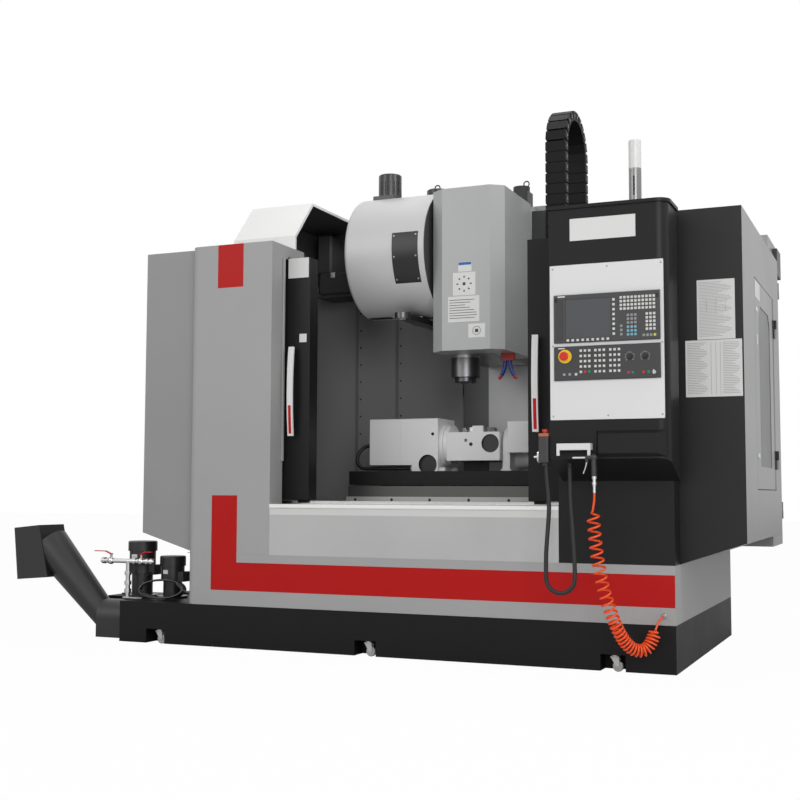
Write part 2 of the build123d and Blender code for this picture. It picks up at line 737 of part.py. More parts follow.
# Hood over the left of the work area, open below and to the right, with a rim round that end
with BuildPart() as left_hood:
    hood_outer = [(header_back - sheet, enclosure_top), (header_back - sheet, hood_front_height),
                  (hood_ridge_y, hood_height), (wall_y + sheet, hood_height), (wall_y + sheet, enclosure_top)]
    with BuildSketch(side_plane(hood_left)) as hood_profile:
        with BuildLine():
            Polyline(*hood_outer, close=True)
        make_face()
    extrude(amount=hood_right - hood_left)
    with BuildSketch(side_plane(hood_left + sheet)):
        with BuildLine():
            Polyline((header_back, enclosure_top - through), (header_back, hood_front_height - sheet * 0.6),
                     (hood_ridge_y + sheet * 0.6, hood_height - sheet), (wall_y, hood_height - sheet),
                     (wall_y, enclosure_top - through), close=True)
        make_face()
    extrude(amount=hood_right - hood_left - 2 * sheet, mode=Mode.SUBTRACT)
    with BuildSketch(side_plane(hood_right - sheet - through)):
        with BuildLine():
            Polyline((header_back - sheet + hood_rim, enclosure_top - through),
                     (header_back - sheet + hood_rim, hood_front_height - hood_rim * 0.5),
                     (hood_ridge_y + hood_rim * 0.5, hood_height - hood_rim),
                     (wall_y + sheet - hood_rim, hood_height - hood_rim),
                     (wall_y + sheet - hood_rim, enclosure_top - through), close=True)
        make_face()
    extrude(amount=sheet + 2 * through, mode=Mode.SUBTRACT)
save(left_hood, "left_hood")

# Control box with a sloping underside, a rounded front edge, a thin lid and a bevelled tray front
with BuildPart() as control_box:
    with BuildSketch(side_plane(box_left)):
        with BuildLine():
            Polyline((box_front, box_bottom_front), (box_front, box_top), (front_y, box_top),
                     (front_y, box_bottom_back), close=True)
        make_face()
    extrude(amount=box_right - box_left)
    corner_edge = control_box.edges().filter_by(Axis.Z).group_by(Axis.Y)[0].sort_by(Axis.X)[-1]
    fillet(corner_edge, box_round)
    with BuildSketch(Plane.XY.offset(box_top)) as lid_plan:
        with Locations(((box_left + box_right) / 2, (box_front - lid_overhang + front_y) / 2)):
            Rectangle(box_right - box_left + 2 * lid_overhang, front_y - box_front + lid_overhang)
        fillet(lid_plan.vertices().group_by(Axis.Y)[0].sort_by(Axis.X)[-1], box_round + lid_overhang)
    extrude(amount=lid_height)
    with BuildSketch(front_plane(box_front)):
        with Locations(((tray_left + box_right - 14) / 2, (tray_low + 38 + tray_high) / 2)):
            Rectangle(box_right - 14 - tray_left, tray_high - tray_low - 38)
    with BuildSketch(front_plane(box_front - tray_depth)):
        with Locations(((tray_left + box_right - 14) / 2 - 12, (tray_low + 38 + tray_high) / 2)):
            Rectangle(box_right - 14 - tray_left - tray_bevel_x, tray_high - tray_low - 38 - tray_bevel_z)
    loft()
    rod((cable_gland_x, cable_gland_y, cable_gland_z), "Z", 16, 24)
save(control_box, "control_box")

# Control plate, the pale screwed sheet that carries both operator units
with BuildPart() as control_plate:
    with BuildSketch(front_plane(box_front)):
        with Locations(((plate_left + plate_right - box_round + 40) / 2, (plate_low + plate_high) / 2)):
            RectangleRounded(plate_right - box_round + 40 - plate_left, plate_high - plate_low, 3)
    extrude(amount=plate_thick)
save(control_plate, "control_plate")


def key_block(centre_x, centre_z, columns, rows, pitch_x, pitch_z, face_y):
    """A block of raised keys on a panel face."""
    with Locations(Location((centre_x, face_y - key_height / 2, centre_z), (90, 0, 0))):
        with GridLocations(pitch_x, pitch_z, columns, rows):
            Box(key_size, key_size, key_height + 0.2)


# Display unit, a bezel with a sunk screen, soft keys and the key field
unit_face = box_front - plate_thick - unit_thick
with BuildPart() as display_unit:
    limits_box((unit_left, unit_left + unit_width), (unit_face, box_front - plate_thick),
               (display_low, display_low + display_height))
    chamfer(display_unit.faces().sort_by(Axis.Y)[0].edges(), 3)
    limits_box((screen_left, screen_right), (unit_face - through, unit_face + 3),
               (screen_low, screen_high), Mode.SUBTRACT)
    limits_box((unit_left + 12, screen_left - 12), (unit_face - 2, unit_face), (display_low + 14, display_low + 196))
    key_block(screen_right + 14, (screen_low + screen_high) / 2, 1, 8, key_pitch, 22, unit_face)
    key_block((screen_left + screen_right) / 2, screen_low - 9, 9, 1, 23, key_pitch, unit_face)
    key_block(1194, 1668, 10, 4, key_pitch, 17, unit_face)
    key_block(1168, 1596, 3, 3, key_pitch, 17, unit_face)
    key_block(1168, 1543, 3, 3, key_pitch, 17, unit_face)
    key_block(1252, 1581, 3, 5, key_pitch, 17, unit_face)
    key_block(1121, 1547, 1, 3, key_pitch, 19, unit_face)
    key_block(1246, 1520, 4, 1, key_pitch, 17, unit_face)
save(display_unit, "display_unit")

# Machine control panel with its key blocks, key switch and bores for the stop button and two knobs
with BuildPart() as machine_panel:
    limits_box((unit_left, unit_left + unit_width), (unit_face, box_front - plate_thick),
               (panel_low, panel_low + panel_height))
    chamfer(machine_panel.faces().sort_by(Axis.Y)[0].edges(), 3)
    for centre in (955.0, 1022.0, 1090.0):
        key_block(centre, 1414, 3, 5, 19.5, 24, unit_face)
    for x in (858.0, 884.0, 913.0, 1152.0, 1171.0, 1219.0, 1241.0):
        key_block(x, 1356, 1, 1, 20, 20, unit_face)
    rod((e_stop_x, unit_face - 3, e_stop_z), "Y", 31, 3)
    rod((e_stop_x, unit_face - 3 - through, e_stop_z), "Y", 11 + running_gap, 14, Mode.SUBTRACT)
    for x in (feed_knob_x, spindle_knob_x):
        rod((x, unit_face - through, knob_z), "Y", 5 + bearing_gap, 10 + through, Mode.SUBTRACT)
    rod((1266, unit_face - 5, 1354), "Y", 8, 5)
    limits_box((1264.5, 1267.5), (unit_face - 22, unit_face - 5), (1344, 1364))
save(machine_panel, "machine_panel")

# Emergency stop, a turned mushroom on a stem
with BuildPart() as e_stop:
    rod((e_stop_x, unit_face - 28, e_stop_z), "Y", e_stop_radius, 14)
    fillet(e_stop.edges(), 5)
    rod((e_stop_x, unit_face - 16, e_stop_z), "Y", 11, 20)
save(e_stop, "e_stop")

# Override knobs, each a fluted cap with a pointer ridge on a stub shaft
for label, x in (("feed_override_knob", feed_knob_x), ("spindle_override_knob", spindle_knob_x)):
    with BuildPart() as knob:
        rod((x, unit_face - running_gap - 14, knob_z), "Y", knob_radius, 14)
        rod((x, unit_face - running_gap, knob_z), "Y", 5, 9)
        with BuildSketch(front_plane(unit_face - running_gap)):
            with Locations((x, knob_z)):
                with PolarLocations(knob_radius + 1.5, 8, start_angle=22.5):
                    Circle(3)
        extrude(amount=14, mode=Mode.SUBTRACT)
        limits_box((x - 1.5, x + 1.5), (unit_face - running_gap - 17, unit_face - running_gap - 14),
                   (knob_z - 9, knob_z + 10))
    save(knob, label)

# Signal lamp, a slotted foot tube under a clear lens with a cap
with BuildPart() as signal_lamp:
    lamp_low = box_top + lid_height
    rod((lamp_x, lamp_y, lamp_low), "Z", lamp_radius + 5, 8)
    rod((lamp_x, lamp_y, lamp_low + 8), "Z", lamp_radius, 175)
    rod((lamp_x, lamp_y, lamp_low + 183), "Z", lamp_radius - 3, 6)
    rod((lamp_x, lamp_y, lamp_low + 189), "Z", lamp_radius, lamp_top - lamp_low - 189)
    fillet(signal_lamp.edges().group_by(Axis.Z)[-1], 5)
    limits_box((lamp_x - 4, lamp_x + 4), (lamp_y - lamp_radius - through, lamp_y - lamp_radius + 4),
               (lamp_low + 60, lamp_low + 150), Mode.SUBTRACT)
save(signal_lamp, "signal_lamp")

# Saddle with its lower shoes, upper guideways and the steel cover in front of them
with BuildPart() as saddle:
    limits_box((-saddle_half_x, saddle_half_x), (-saddle_half_y, saddle_half_y), (saddle_low, saddle_top))
    for side in (-1, 1):
        rail = side * bed_rail_x
        for y in (-170.0, 170.0):
            limits_box((rail - 50, rail + 50), (y - 70, y + 70), (bed_top + 8, saddle_low))
        limits_box((rail - rail_width / 2 - running_gap, rail + rail_width / 2 + running_gap),
                   (-saddle_half_y - through, saddle_half_y + through),
                   (bed_top, bed_top + rail_height + running_gap), Mode.SUBTRACT)
        limits_box((-saddle_half_x + 6, saddle_half_x - 6),
                   (side * table_rail_y - rail_width / 2, side * table_rail_y + rail_width / 2),
                   (saddle_top, saddle_top + table_rail_height))
    limits_box((-saddle_half_x, saddle_half_x), (-235, -231), (saddle_top, table_low - 4))
    limits_box((-saddle_half_x, saddle_half_x), (231, 235), (saddle_top, table_low - 4))
save(saddle, "saddle")

# Table with five tee slots and four shoes on the saddle's guideways
with BuildPart() as table:
    limits_box((-table_half_x, table_half_x), (-table_half_y, table_half_y), (table_low, table_top))
    for step in range(-2, 3):
        y = step * slot_pitch
        limits_box((-table_half_x - through, table_half_x + through), (y - slot_width / 2, y + slot_width / 2),
                   (table_top - slot_depth, table_top + through), Mode.SUBTRACT)
        limits_box((-table_half_x - through, table_half_x + through), (y - slot_wide / 2, y + slot_wide / 2),
                   (table_top - slot_depth, table_top - slot_depth + slot_wide_height), Mode.SUBTRACT)
    for side in (-1, 1):
        for x in (-380.0, 380.0):
            limits_box((x - 50, x + 50), (side * table_rail_y - 38, side * table_rail_y + 38),
                       (saddle_top + 6, table_low))
            limits_box((x - 50 - through, x + 50 + through),
                       (side * table_rail_y - rail_width / 2 - running_gap,
                        side * table_rail_y + rail_width / 2 + running_gap),
                       (saddle_top, saddle_top + table_rail_height + running_gap), Mode.SUBTRACT)
save(table, "table")

# Rotary table housing: gear case, motor cover, face ring and the gland of its hose
with BuildPart() as rotary_housing:
    limits_box((gear_left, gear_right), (-rotary_half_y, rotary_half_y), (table_top, rotary_top))
    limits_box((motor_left, gear_left), (-rotary_half_y, rotary_half_y), (motor_low, rotary_top))
    chamfer(rotary_housing.edges().filter_by(Axis.X).group_by(Axis.Z)[-1], 5)
    limits_box((-343, -339), (-rotary_half_y - through, -rotary_half_y + 2), (motor_low - through, rotary_top + through),
               Mode.SUBTRACT)
    rod((gear_right, 0, tilt_z), "X", face_radius, face_right - gear_right)
    rod((gear_right - 60, 0, tilt_z), "X", journal_radius + bearing_gap, face_right - gear_right + 60 + through,
        Mode.SUBTRACT)
    rod((-177, -rotary_half_y - through, 976), "Y", 54, 20 + through, Mode.SUBTRACT)
    rod((-147, -rotary_half_y - through, 1144), "Y", 9, 12 + through, Mode.SUBTRACT)
    for side in (-1, 1):
        limits_box((gear_right, gear_right + 34), (side * 96 - 16, side * 96 + 16), (table_top, table_top + 22))
    rod((motor_left - 14, -30, 1088), "X", 17, 14)
    rod((gear_left - 14, -96, 955), "X", 15, 14)
save(rotary_housing, "rotary_housing")

# Cradle that tilts between the two housings, with its journals, port and front stop block
with BuildPart() as rotary_cradle:
    flange_left = face_right + running_gap
    rod((flange_left, 0, tilt_z), "X", 112, cradle_flange)
    body_left = flange_left + cradle_flange
    limits_box((body_left, cradle_right), (-cradle_half_y, cradle_half_y), (cradle_low, cradle_top))
    rod((flange_left - 70, 0, tilt_z), "X", journal_radius, 70)
    rod((cradle_right, 0, tilt_z), "X", tail_journal_radius, 46)
    rod((platter_x, 0, cradle_top - 60), "Z", platter_stub + bearing_gap, 60 + through, Mode.SUBTRACT)
    rod((183, -cradle_half_y - through, tilt_z + 4), "Y", 50, 12 + through, Mode.SUBTRACT)
    rod((42, -cradle_half_y - through, tilt_z + 22), "Y", 9, 8 + through, Mode.SUBTRACT)
    rod((72, -cradle_half_y - through, tilt_z), "Y", 10, 8 + through, Mode.SUBTRACT)
    limits_box((81, 141), (-cradle_half_y, -cradle_half_y + 16), (cradle_top, cradle_top + 34))
save(rotary_cradle, "rotary_cradle")

# Rotary platter with a centre bore and six radial tee slots
with BuildPart() as rotary_platter:
    platter_low = cradle_top + running_gap
    rod((platter_x, 0, platter_low), "Z", platter_radius, platter_height)
    chamfer(rotary_platter.edges().filter_by(GeomType.CIRCLE), 2)
    rod((platter_x, 0, cradle_top - 55), "Z", platter_stub, 55 + running_gap)
    with BuildSketch(Plane.XY.offset(platter_low + platter_height)):
        with Locations((platter_x, 0)):
            with PolarLocations(platter_radius / 2 + 22, 6):
                Rectangle(platter_radius, 12)
    extrude(amount=-10, mode=Mode.SUBTRACT)
    rod((platter_x, 0, platter_low + platter_height - 30), "Z", 15, 30 + through, Mode.SUBTRACT)
save(rotary_platter, "rotary_platter")

# Tailstock of the rotary table: an arched upright on a foot and the brake housing behind it
with BuildPart() as rotary_tailstock:
    with BuildSketch(side_plane(tail_left)):
        with BuildLine():
            Polyline((-tail_half_y, tilt_z), (-tail_half_y, table_top), (tail_half_y, table_top), (tail_half_y, tilt_z))
            ThreePointArc((tail_half_y, tilt_z), (0, tilt_z + tail_half_y), (-tail_half_y, tilt_z))
        make_face()
    extrude(amount=tail_right - tail_left)
    limits_box((tail_left - 6, tail_right + 12), (-tail_half_y - 14, tail_half_y + 14), (table_top, table_top + 12))
    limits_box((tail_right, tail_box_right), (-rotary_half_y, 80), (1037, 1205))
    rod((tail_right, 40, 1000), "X", 46, 150)
    rod((tail_left - through, 0, tilt_z), "X", tail_journal_radius + bearing_gap, 50 + through, Mode.SUBTRACT)
save(rotary_tailstock, "rotary_tailstock")

# Head cover, a bent shell with a flat front, two bevelled corners, a top and a bottom lid
head_outline = [(head_left, head_back), (head_left, head_corner_y), (head_flat_left, head_front),
                (head_flat_right, head_front), (head_right, head_corner_y), (head_right, head_back)]
with BuildPart() as head_cover:
    with BuildSketch(Plane.XY.offset(head_low)):
        with BuildLine():
            Polyline(*head_outline, close=True)
        make_face()
    extrude(amount=head_top - head_low)
    with BuildSketch(Plane.XY.offset(head_low + sheet)):
        with BuildLine():
            Polyline(*head_outline, close=True)
        make_face()
        offset(amount=-sheet)
    extrude(amount=head_top - head_low - 2 * sheet, mode=Mode.SUBTRACT)
    limits_box((head_left + sheet, head_right - sheet), (0, head_back + through),
               (head_low + sheet, head_top - sheet), Mode.SUBTRACT)
    limits_box((casting_left - 2, casting_right + 2), (-cartridge_radius - 42, head_back + through),
               (head_low - through, head_low + sheet + through), Mode.SUBTRACT)
save(head_cover, "head_cover")

# Head casting: the carriage on the column, the arm forward of it, the spindle cartridge, the
# motor flange above it and the bracket that takes the energy chain
with BuildPart() as head_casting:
    limits_box((-carriage_half, carriage_half), (carriage_front, carriage_back), (carriage_low, carriage_top))
    for side in (-1, 1):
        rail = side * column_rail_x
        limits_box((rail - 28, rail + 28), (carriage_back, column_front - 6), (carriage_low, carriage_low + 160))
        limits_box((rail - 28, rail + 28), (carriage_back, column_front - 6), (carriage_top - 160, carriage_top))
        limits_box((rail - rail_width / 2 - running_gap, rail + rail_width / 2 + running_gap),
                   (column_front - column_rail_height - running_gap, column_front),
                   (carriage_low - through, carriage_top + through), Mode.SUBTRACT)
    limits_box((casting_left, casting_right), (-cartridge_radius - 40, carriage_front), (head_low, carriage_top - 60))
    for z in (1700.0, 2020.0):
        limits_box((head_left + sheet, head_right - sheet), (90, 150), (z, z + 60))
    rod((0, 0, cartridge_low), "Z", cartridge_radius, head_low - cartridge_low)
    rod((0, 0, spindle_low), "Z", spindle_radius + bearing_gap, 260, Mode.SUBTRACT)
    limits_box((head_right + 4, chain_left), (chain_front - 20, chain_front + 50), (chain_head_end - 30, 2430))
    limits_box((casting_right, chain_left), (chain_front + 20, chain_front + 50), (1900, 2090))
    limits_box((head_right + 4, chain_left), (chain_front, chain_front + 50), (2090, chain_head_end - 30))
    limits_box((chain_left, chain_right), (chain_front - 30, chain_front + 30), (chain_head_end - 30, chain_head_end))
    limits_box((casting_right, chain_left), (chain_front, chain_front + 50), (2040, 2090))
save(head_casting, "head_casting")

# Telescopic cover plate that rides under the head in front of the fixed one
with BuildPart() as z_way_cover:
    limits_box((-cover_half + 6, cover_half - 6), (fixed_cover_y - 8, fixed_cover_y - 5), (1012, carriage_low))
    limits_box((-cover_half + 6, cover_half - 6), (fixed_cover_y - 24, fixed_cover_y - 8), (1012, 1015))
save(z_way_cover, "z_way_cover")

# Spindle, a turned nose with its taper bore and two drive keys
with BuildPart() as spindle:
    rod((0, 0, spindle_low), "Z", spindle_radius, 240)
    rod((0, 0, spindle_low), "Z", 62, cartridge_low - spindle_low - running_gap)
    chamfer(spindle.edges().filter_by(GeomType.CIRCLE).group_by(Axis.Z)[0], 3)
    with BuildSketch(Plane.XZ) as taper_profile:
        with BuildLine():
            Polyline((0, spindle_low), (taper_radius, spindle_low), (taper_radius - taper_length * 7 / 48, spindle_low + taper_length),
                     (0, spindle_low + taper_length), close=True)
        make_face()
    revolve(axis=Axis.Z, mode=Mode.SUBTRACT)
    for side in (-1, 1):
        limits_box(sorted((side * 24, side * 40)), (-8, 8), (spindle_low - 8, spindle_low))
save(spindle, "spindle")

# Coolant nozzles: a block under the head cover with two jointed segment lines
with BuildPart() as coolant_nozzles:
    nozzle_y = -70.0
    limits_box((238, 308), (nozzle_y - 18, nozzle_y + 18), (head_low - 42, head_low))
    for start_x, lean in ((256.0, -1.0), (284.0, 1.0)):
        for step in range(6):
            x = start_x + lean * 1.2 * step * step
            z = head_low - 48 - 19 * step + 0.4 * step * step
            radius = 11.0 - 1.2 * (step == 5)
            with Locations(Location((x, nozzle_y, z), (0, -lean * 7 * step, 0))):
                Cylinder(radius, 15)
                Cylinder(radius - 3, 24)
save(coolant_nozzles, "coolant_nozzles")

# Energy chain: links along a hanging loop, from the head's bracket up, round and down to the column
chain_radius = (chain_back - chain_front) / 2
chain_centre_y = (chain_back + chain_front) / 2
chain_centre_z = chain_top - chain_radius - chain_height / 2
front_run = chain_centre_z - chain_head_end
back_run = chain_centre_z - chain_fixed_end
chain_length = front_run + pi * chain_radius + back_run


def chain_place(distance):
    """Centre and tilt of the chain at a distance from its end on the head."""
    if distance < front_run:
        return (chain_front, chain_head_end + distance, 0.0)
    turned = (distance - front_run) / chain_radius
    if turned < pi:
        return (chain_centre_y - chain_radius * cos(turned), chain_centre_z + chain_radius * sin(turned),
                -degrees(turned))
    return (chain_back, chain_centre_z - (distance - front_run - pi * chain_radius), 180.0)


with BuildPart() as energy_chain:
    link_count = int(chain_length / link_pitch)
    true_pitch = chain_length / link_count
    band = chain_height / 2 - link_inset
    with BuildSketch(side_plane(chain_left + link_inset)):
        with BuildLine():
            Line((chain_front - band, chain_head_end), (chain_front - band, chain_centre_z))
            ThreePointArc((chain_front - band, chain_centre_z), (chain_centre_y, chain_centre_z + chain_radius + band),
                          (chain_back + band, chain_centre_z))
            Line((chain_back + band, chain_centre_z), (chain_back + band, chain_fixed_end))
            Line((chain_back + band, chain_fixed_end), (chain_back - band, chain_fixed_end))
            Line((chain_back - band, chain_fixed_end), (chain_back - band, chain_centre_z))
            ThreePointArc((chain_back - band, chain_centre_z), (chain_centre_y, chain_centre_z + chain_radius - band),
                          (chain_front + band, chain_centre_z))
            Line((chain_front + band, chain_centre_z), (chain_front + band, chain_head_end))
            Line((chain_front + band, chain_head_end), (chain_front - band, chain_head_end))
        make_face()
    extrude(amount=chain_right - chain_left - 2 * link_inset)
    with BuildSketch(side_plane(chain_left)):
        for index in range(link_count):
            y, z, turn = chain_place((index + 0.5) * true_pitch)
            with Locations(Location((y, z), turn)):
                Rectangle(chain_height, link_length)
    extrude(amount=chain_right - chain_left)
save(energy_chain, "energy_chain")

# Magazine cover: a drum shell with a rounded left edge, open behind for its frame and below for
# the tool pot and the changer arm's shaft
drum_hollow = Pos((drum_left + drum_right) / 2, 0, drum_z) * Rot(0, 90, 0) * Cylinder(
    drum_radius - drum_wall, drum_right - drum_left - 2 * drum_wall)
drum_hollow = fillet(drum_hollow.faces().sort_by(Axis.X)[0].edges(), drum_round - drum_wall)
with BuildPart() as magazine_cover:
    with BuildSketch(side_plane(drum_left)):
        with Locations((0, drum_z)):
            Circle(drum_radius)
    extrude(amount=drum_right - drum_left)
    fillet(magazine_cover.faces().sort_by(Axis.X)[0].edges(), drum_round)
    add(drum_hollow, mode=Mode.SUBTRACT)
    limits_box((cam_left - 6, drum_right + through), (60, drum_radius + through), (cam_low - 10, drum_z + drum_radius),
               Mode.SUBTRACT)
    limits_box((disc_left + 10, disc_right + 6), (-52, 52), (drum_z - drum_radius - through, drum_z - drum_radius + 40),
               Mode.SUBTRACT)
    rod((arm_x, 0, drum_z - drum_radius - through), "Z", sleeve_radius + 8, 40, Mode.SUBTRACT)
    with BuildSketch(side_plane(-304)) as plate_arc:
        with Locations((0, drum_z)):
            Circle(drum_radius + 2)
            Circle(drum_radius - 1, mode=Mode.SUBTRACT)
        with Locations((0, drum_z - 565), (0, drum_z + 446), (500 - 250, drum_z)):
            Rectangle(1000, 750, mode=Mode.SUBTRACT)
    extrude(amount=153)
save(magazine_cover, "magazine_cover")

# Magazine frame: the cam case inside the drum, its bracket on the column, the arm motor behind
# the drum and the fixed hub of the tool disc
with BuildPart() as magazine_frame:
    limits_box((cam_left, cam_right), (cam_front, cam_back), (cam_low, cam_high))
    limits_box((cam_left, -cover_slot - 5), (cam_back, column_front), (wall_top + 20, cam_high))
    rod((arm_x, 0, cam_low - through), "Z", sleeve_radius + bearing_gap, 260, Mode.SUBTRACT)
    rod((disc_left, 0, drum_z), "X", hub_radius, cam_left - disc_left)
    rod((drum_left + drum_wall, 0, drum_z), "X", hub_radius - 6, disc_left - drum_left - drum_wall)
    limits_box((cam_right, drum_right - drum_wall), (-70, 40), (drum_z - 90, drum_z + 90))
    rod((-300, 330, cam_high), "Z", 76, 14)
    rod((-300, 330, cam_high + 14), "Z", 64, 290)
    fillet(magazine_frame.edges().group_by(Axis.Z)[-1], 10)
    with Locations(Location((-300, 330, cam_high + 318), (90, 0, 0))):
        Torus(16, 4)
    limits_box((cam_left + 20, cam_left + 40), (-60, 60), (cam_high - 10, cam_high + 160))
save(magazine_frame, "magazine_frame")

# Magazine motor: a finned vertical motor on a saddle plate on top of the drum
with BuildPart() as magazine_motor:
    motor_low_z = drum_z + drum_radius + 12
    rod((magazine_motor_x, 0, motor_low_z), "Z", magazine_motor_radius, magazine_motor_top - motor_low_z)
    fillet(magazine_motor.edges().group_by(Axis.Z)[-1], 9)
    with BuildSketch(Plane.XY.offset(motor_low_z + 14)):
        with Locations((magazine_motor_x, 0)):
            with PolarLocations(magazine_motor_radius, 16):
                Rectangle(7, 4)
    extrude(amount=74, mode=Mode.SUBTRACT)
    with BuildSketch(Plane.XY.offset(drum_z + drum_radius - 30)):
        with Locations((magazine_motor_x, 0)):
            RectangleRounded(150, 170, 14)
    extrude(amount=42)
    rod((drum_left, 0, drum_z), "X", drum_radius, drum_right - drum_left, Mode.SUBTRACT)
save(magazine_motor, "magazine_motor")

# Tool disc: a plate with a ring of tool pots, turning on the frame's hub
with BuildPart() as tool_disc:
    middle = (disc_left + disc_right) / 2
    rod((middle - 12, 0, drum_z), "X", pot_circle - 6, 24)
    rod((middle - 50, 0, drum_z), "X", hub_radius + 26, 100)
    with BuildSketch(side_plane(middle - pot_length / 2)):
        with Locations((0, drum_z)):
            with PolarLocations(pot_circle, pot_count):
                Circle(pot_radius)
    extrude(amount=pot_length)
    with BuildSketch(side_plane(middle - pot_length / 2)):
        with Locations((0, drum_z)):
            with PolarLocations(pot_circle, pot_count):
                Circle(pot_radius - 9)
    extrude(amount=70, mode=Mode.SUBTRACT)
    rod((disc_left, 0, drum_z), "X", hub_radius + bearing_gap, disc_right - disc_left, Mode.SUBTRACT)
save(tool_disc, "tool_disc")

# Arm shaft, the sleeve that drops out of the cam case
with BuildPart() as arm_shaft:
    rod((arm_x, 0, arm_high + running_gap), "Z", sleeve_radius, 215)
    rod((arm_x, 0, arm_high), "Z", 18 + bearing_gap, 12, Mode.SUBTRACT)
save(arm_shaft, "arm_shaft")

# Changer arm: a tapered double arm with an open gripper at each end and a spigot in the shaft
with BuildPart() as swing_arm:
    with BuildSketch(Plane.XY.offset(arm_low)) as arm_plan:
        with BuildLine():
            Polyline((arm_x - 42, 0), (arm_x - 26, -arm_span + 20), (arm_x + 26, -arm_span + 20),
                     (arm_x + 42, 0), (arm_x + 26, arm_span - 20), (arm_x - 26, arm_span - 20), close=True)
        make_face()
        with Locations((arm_x, 0)):
            Circle(50)
        with Locations((arm_x, -arm_span), (arm_x, arm_span)):
            Circle(46)
    extrude(amount=arm_high - arm_low)
    for side in (-1, 1):
        rod((arm_x, side * arm_span, arm_low - through), "Z", 32, arm_high - arm_low + 2 * through, Mode.SUBTRACT)
        limits_box(sorted((arm_x, arm_x + side * 60)), (side * arm_span - 32, side * arm_span + 32),
                   (arm_low - through, arm_high + through), Mode.SUBTRACT)
    rod((arm_x, 0, arm_high), "Z", 18, 10)
save(swing_arm, "swing_arm")


def rounded_slab(x, y, z, radius, mode=Mode.ADD):
    """A slab facing the front, with its four corners rounded."""
    middle = ((x[0] + x[1]) / 2, (y[0] + y[1]) / 2, (z[0] + z[1]) / 2)
    slab = Solid.make_box(x[1] - x[0], y[1] - y[0], z[1] - z[0])
    slab = slab.fillet(radius, slab.edges().filter_by(Axis.Y))
    slab = slab.moved(Location((x[0], y[0], z[0])))
    add(slab, mode=mode)
    return middle


def door_leaf(edge, trailing):
    """The hollow leaf of a sliding door with its window, from its closing edge outward."""
    low, high = sorted((edge, trailing))
    door_back = door_front + door_depth
    limits_box((low, high), (door_front, door_back), (door_bottom, door_top))
    limits_box((low + door_sheet, high - door_sheet), (door_front + door_sheet, door_back + through),
               (door_bottom + door_sheet, door_top - door_sheet), Mode.SUBTRACT)
    outward = 1 if trailing > edge else -1
    near = edge + outward * window_offset
    far = near + outward * window_width
    low_x, high_x = sorted((near, far))
    rounded_slab((low_x, high_x), (door_front - through, door_front + door_sheet + through),
                 (window_bottom, window_top), window_round, Mode.SUBTRACT)
    rounded_slab((low_x - 25, high_x + 25), (door_front + door_sheet, door_front + door_sheet + pane),
                 (window_bottom - 25, window_top + 25), window_round)
    shoe_gap = rail_rib / 2 + running_gap
    for x in (low + 50, high - 50):
        for side in (-1, 1):
            face = sorted((rib_y + side * shoe_gap, rib_y + side * (shoe_gap + 14)))
            limits_box((x - shoe_length / 2, x + shoe_length / 2), face, (sill_top + 6, door_bottom))
    x = trailing - outward * 50
    for side in (-1, 1):
        face = sorted((rib_y + side * shoe_gap, rib_y + side * (shoe_gap + 14)))
        limits_box((x - shoe_length / 2, x + shoe_length / 2), face, (door_top, door_top + 11))


def door_handle(centre_x):
    """A bowed bar on two round posts, built from short straight lengths."""
    bar_y = door_front - handle_standoff
    steps = 8
    length = (handle_high - handle_low) / steps
    for step in range(steps):
        place = (step + 0.5) / steps * 2 - 1
        middle_y = bar_y - handle_bow * (1 - place * place)
        tilt = degrees(atan2(2 * handle_bow * place * 2 / steps, length * 2 / steps * steps / 2))
        with Locations(Location((centre_x, middle_y + 6, handle_low + (step + 0.5) * length), (-tilt, 0, 0))):
            Box(handle_width, 12, length + 4)
    for z in (handle_low + 28, handle_high - 28):
        rod((centre_x, bar_y, z), "Y", 9, handle_standoff)


# Left door leaf with its handle
with BuildPart() as left_door:
    door_leaf(left_door_edge, left_door_edge - door_width)
    door_handle(left_door_edge - handle_offset)
save(left_door, "left_door")

# Right door leaf with its handle
with BuildPart() as right_door:
    door_leaf(right_door_edge, right_door_edge + door_width)
    door_handle(right_door_edge + right_handle_offset)
save(right_door, "right_door")

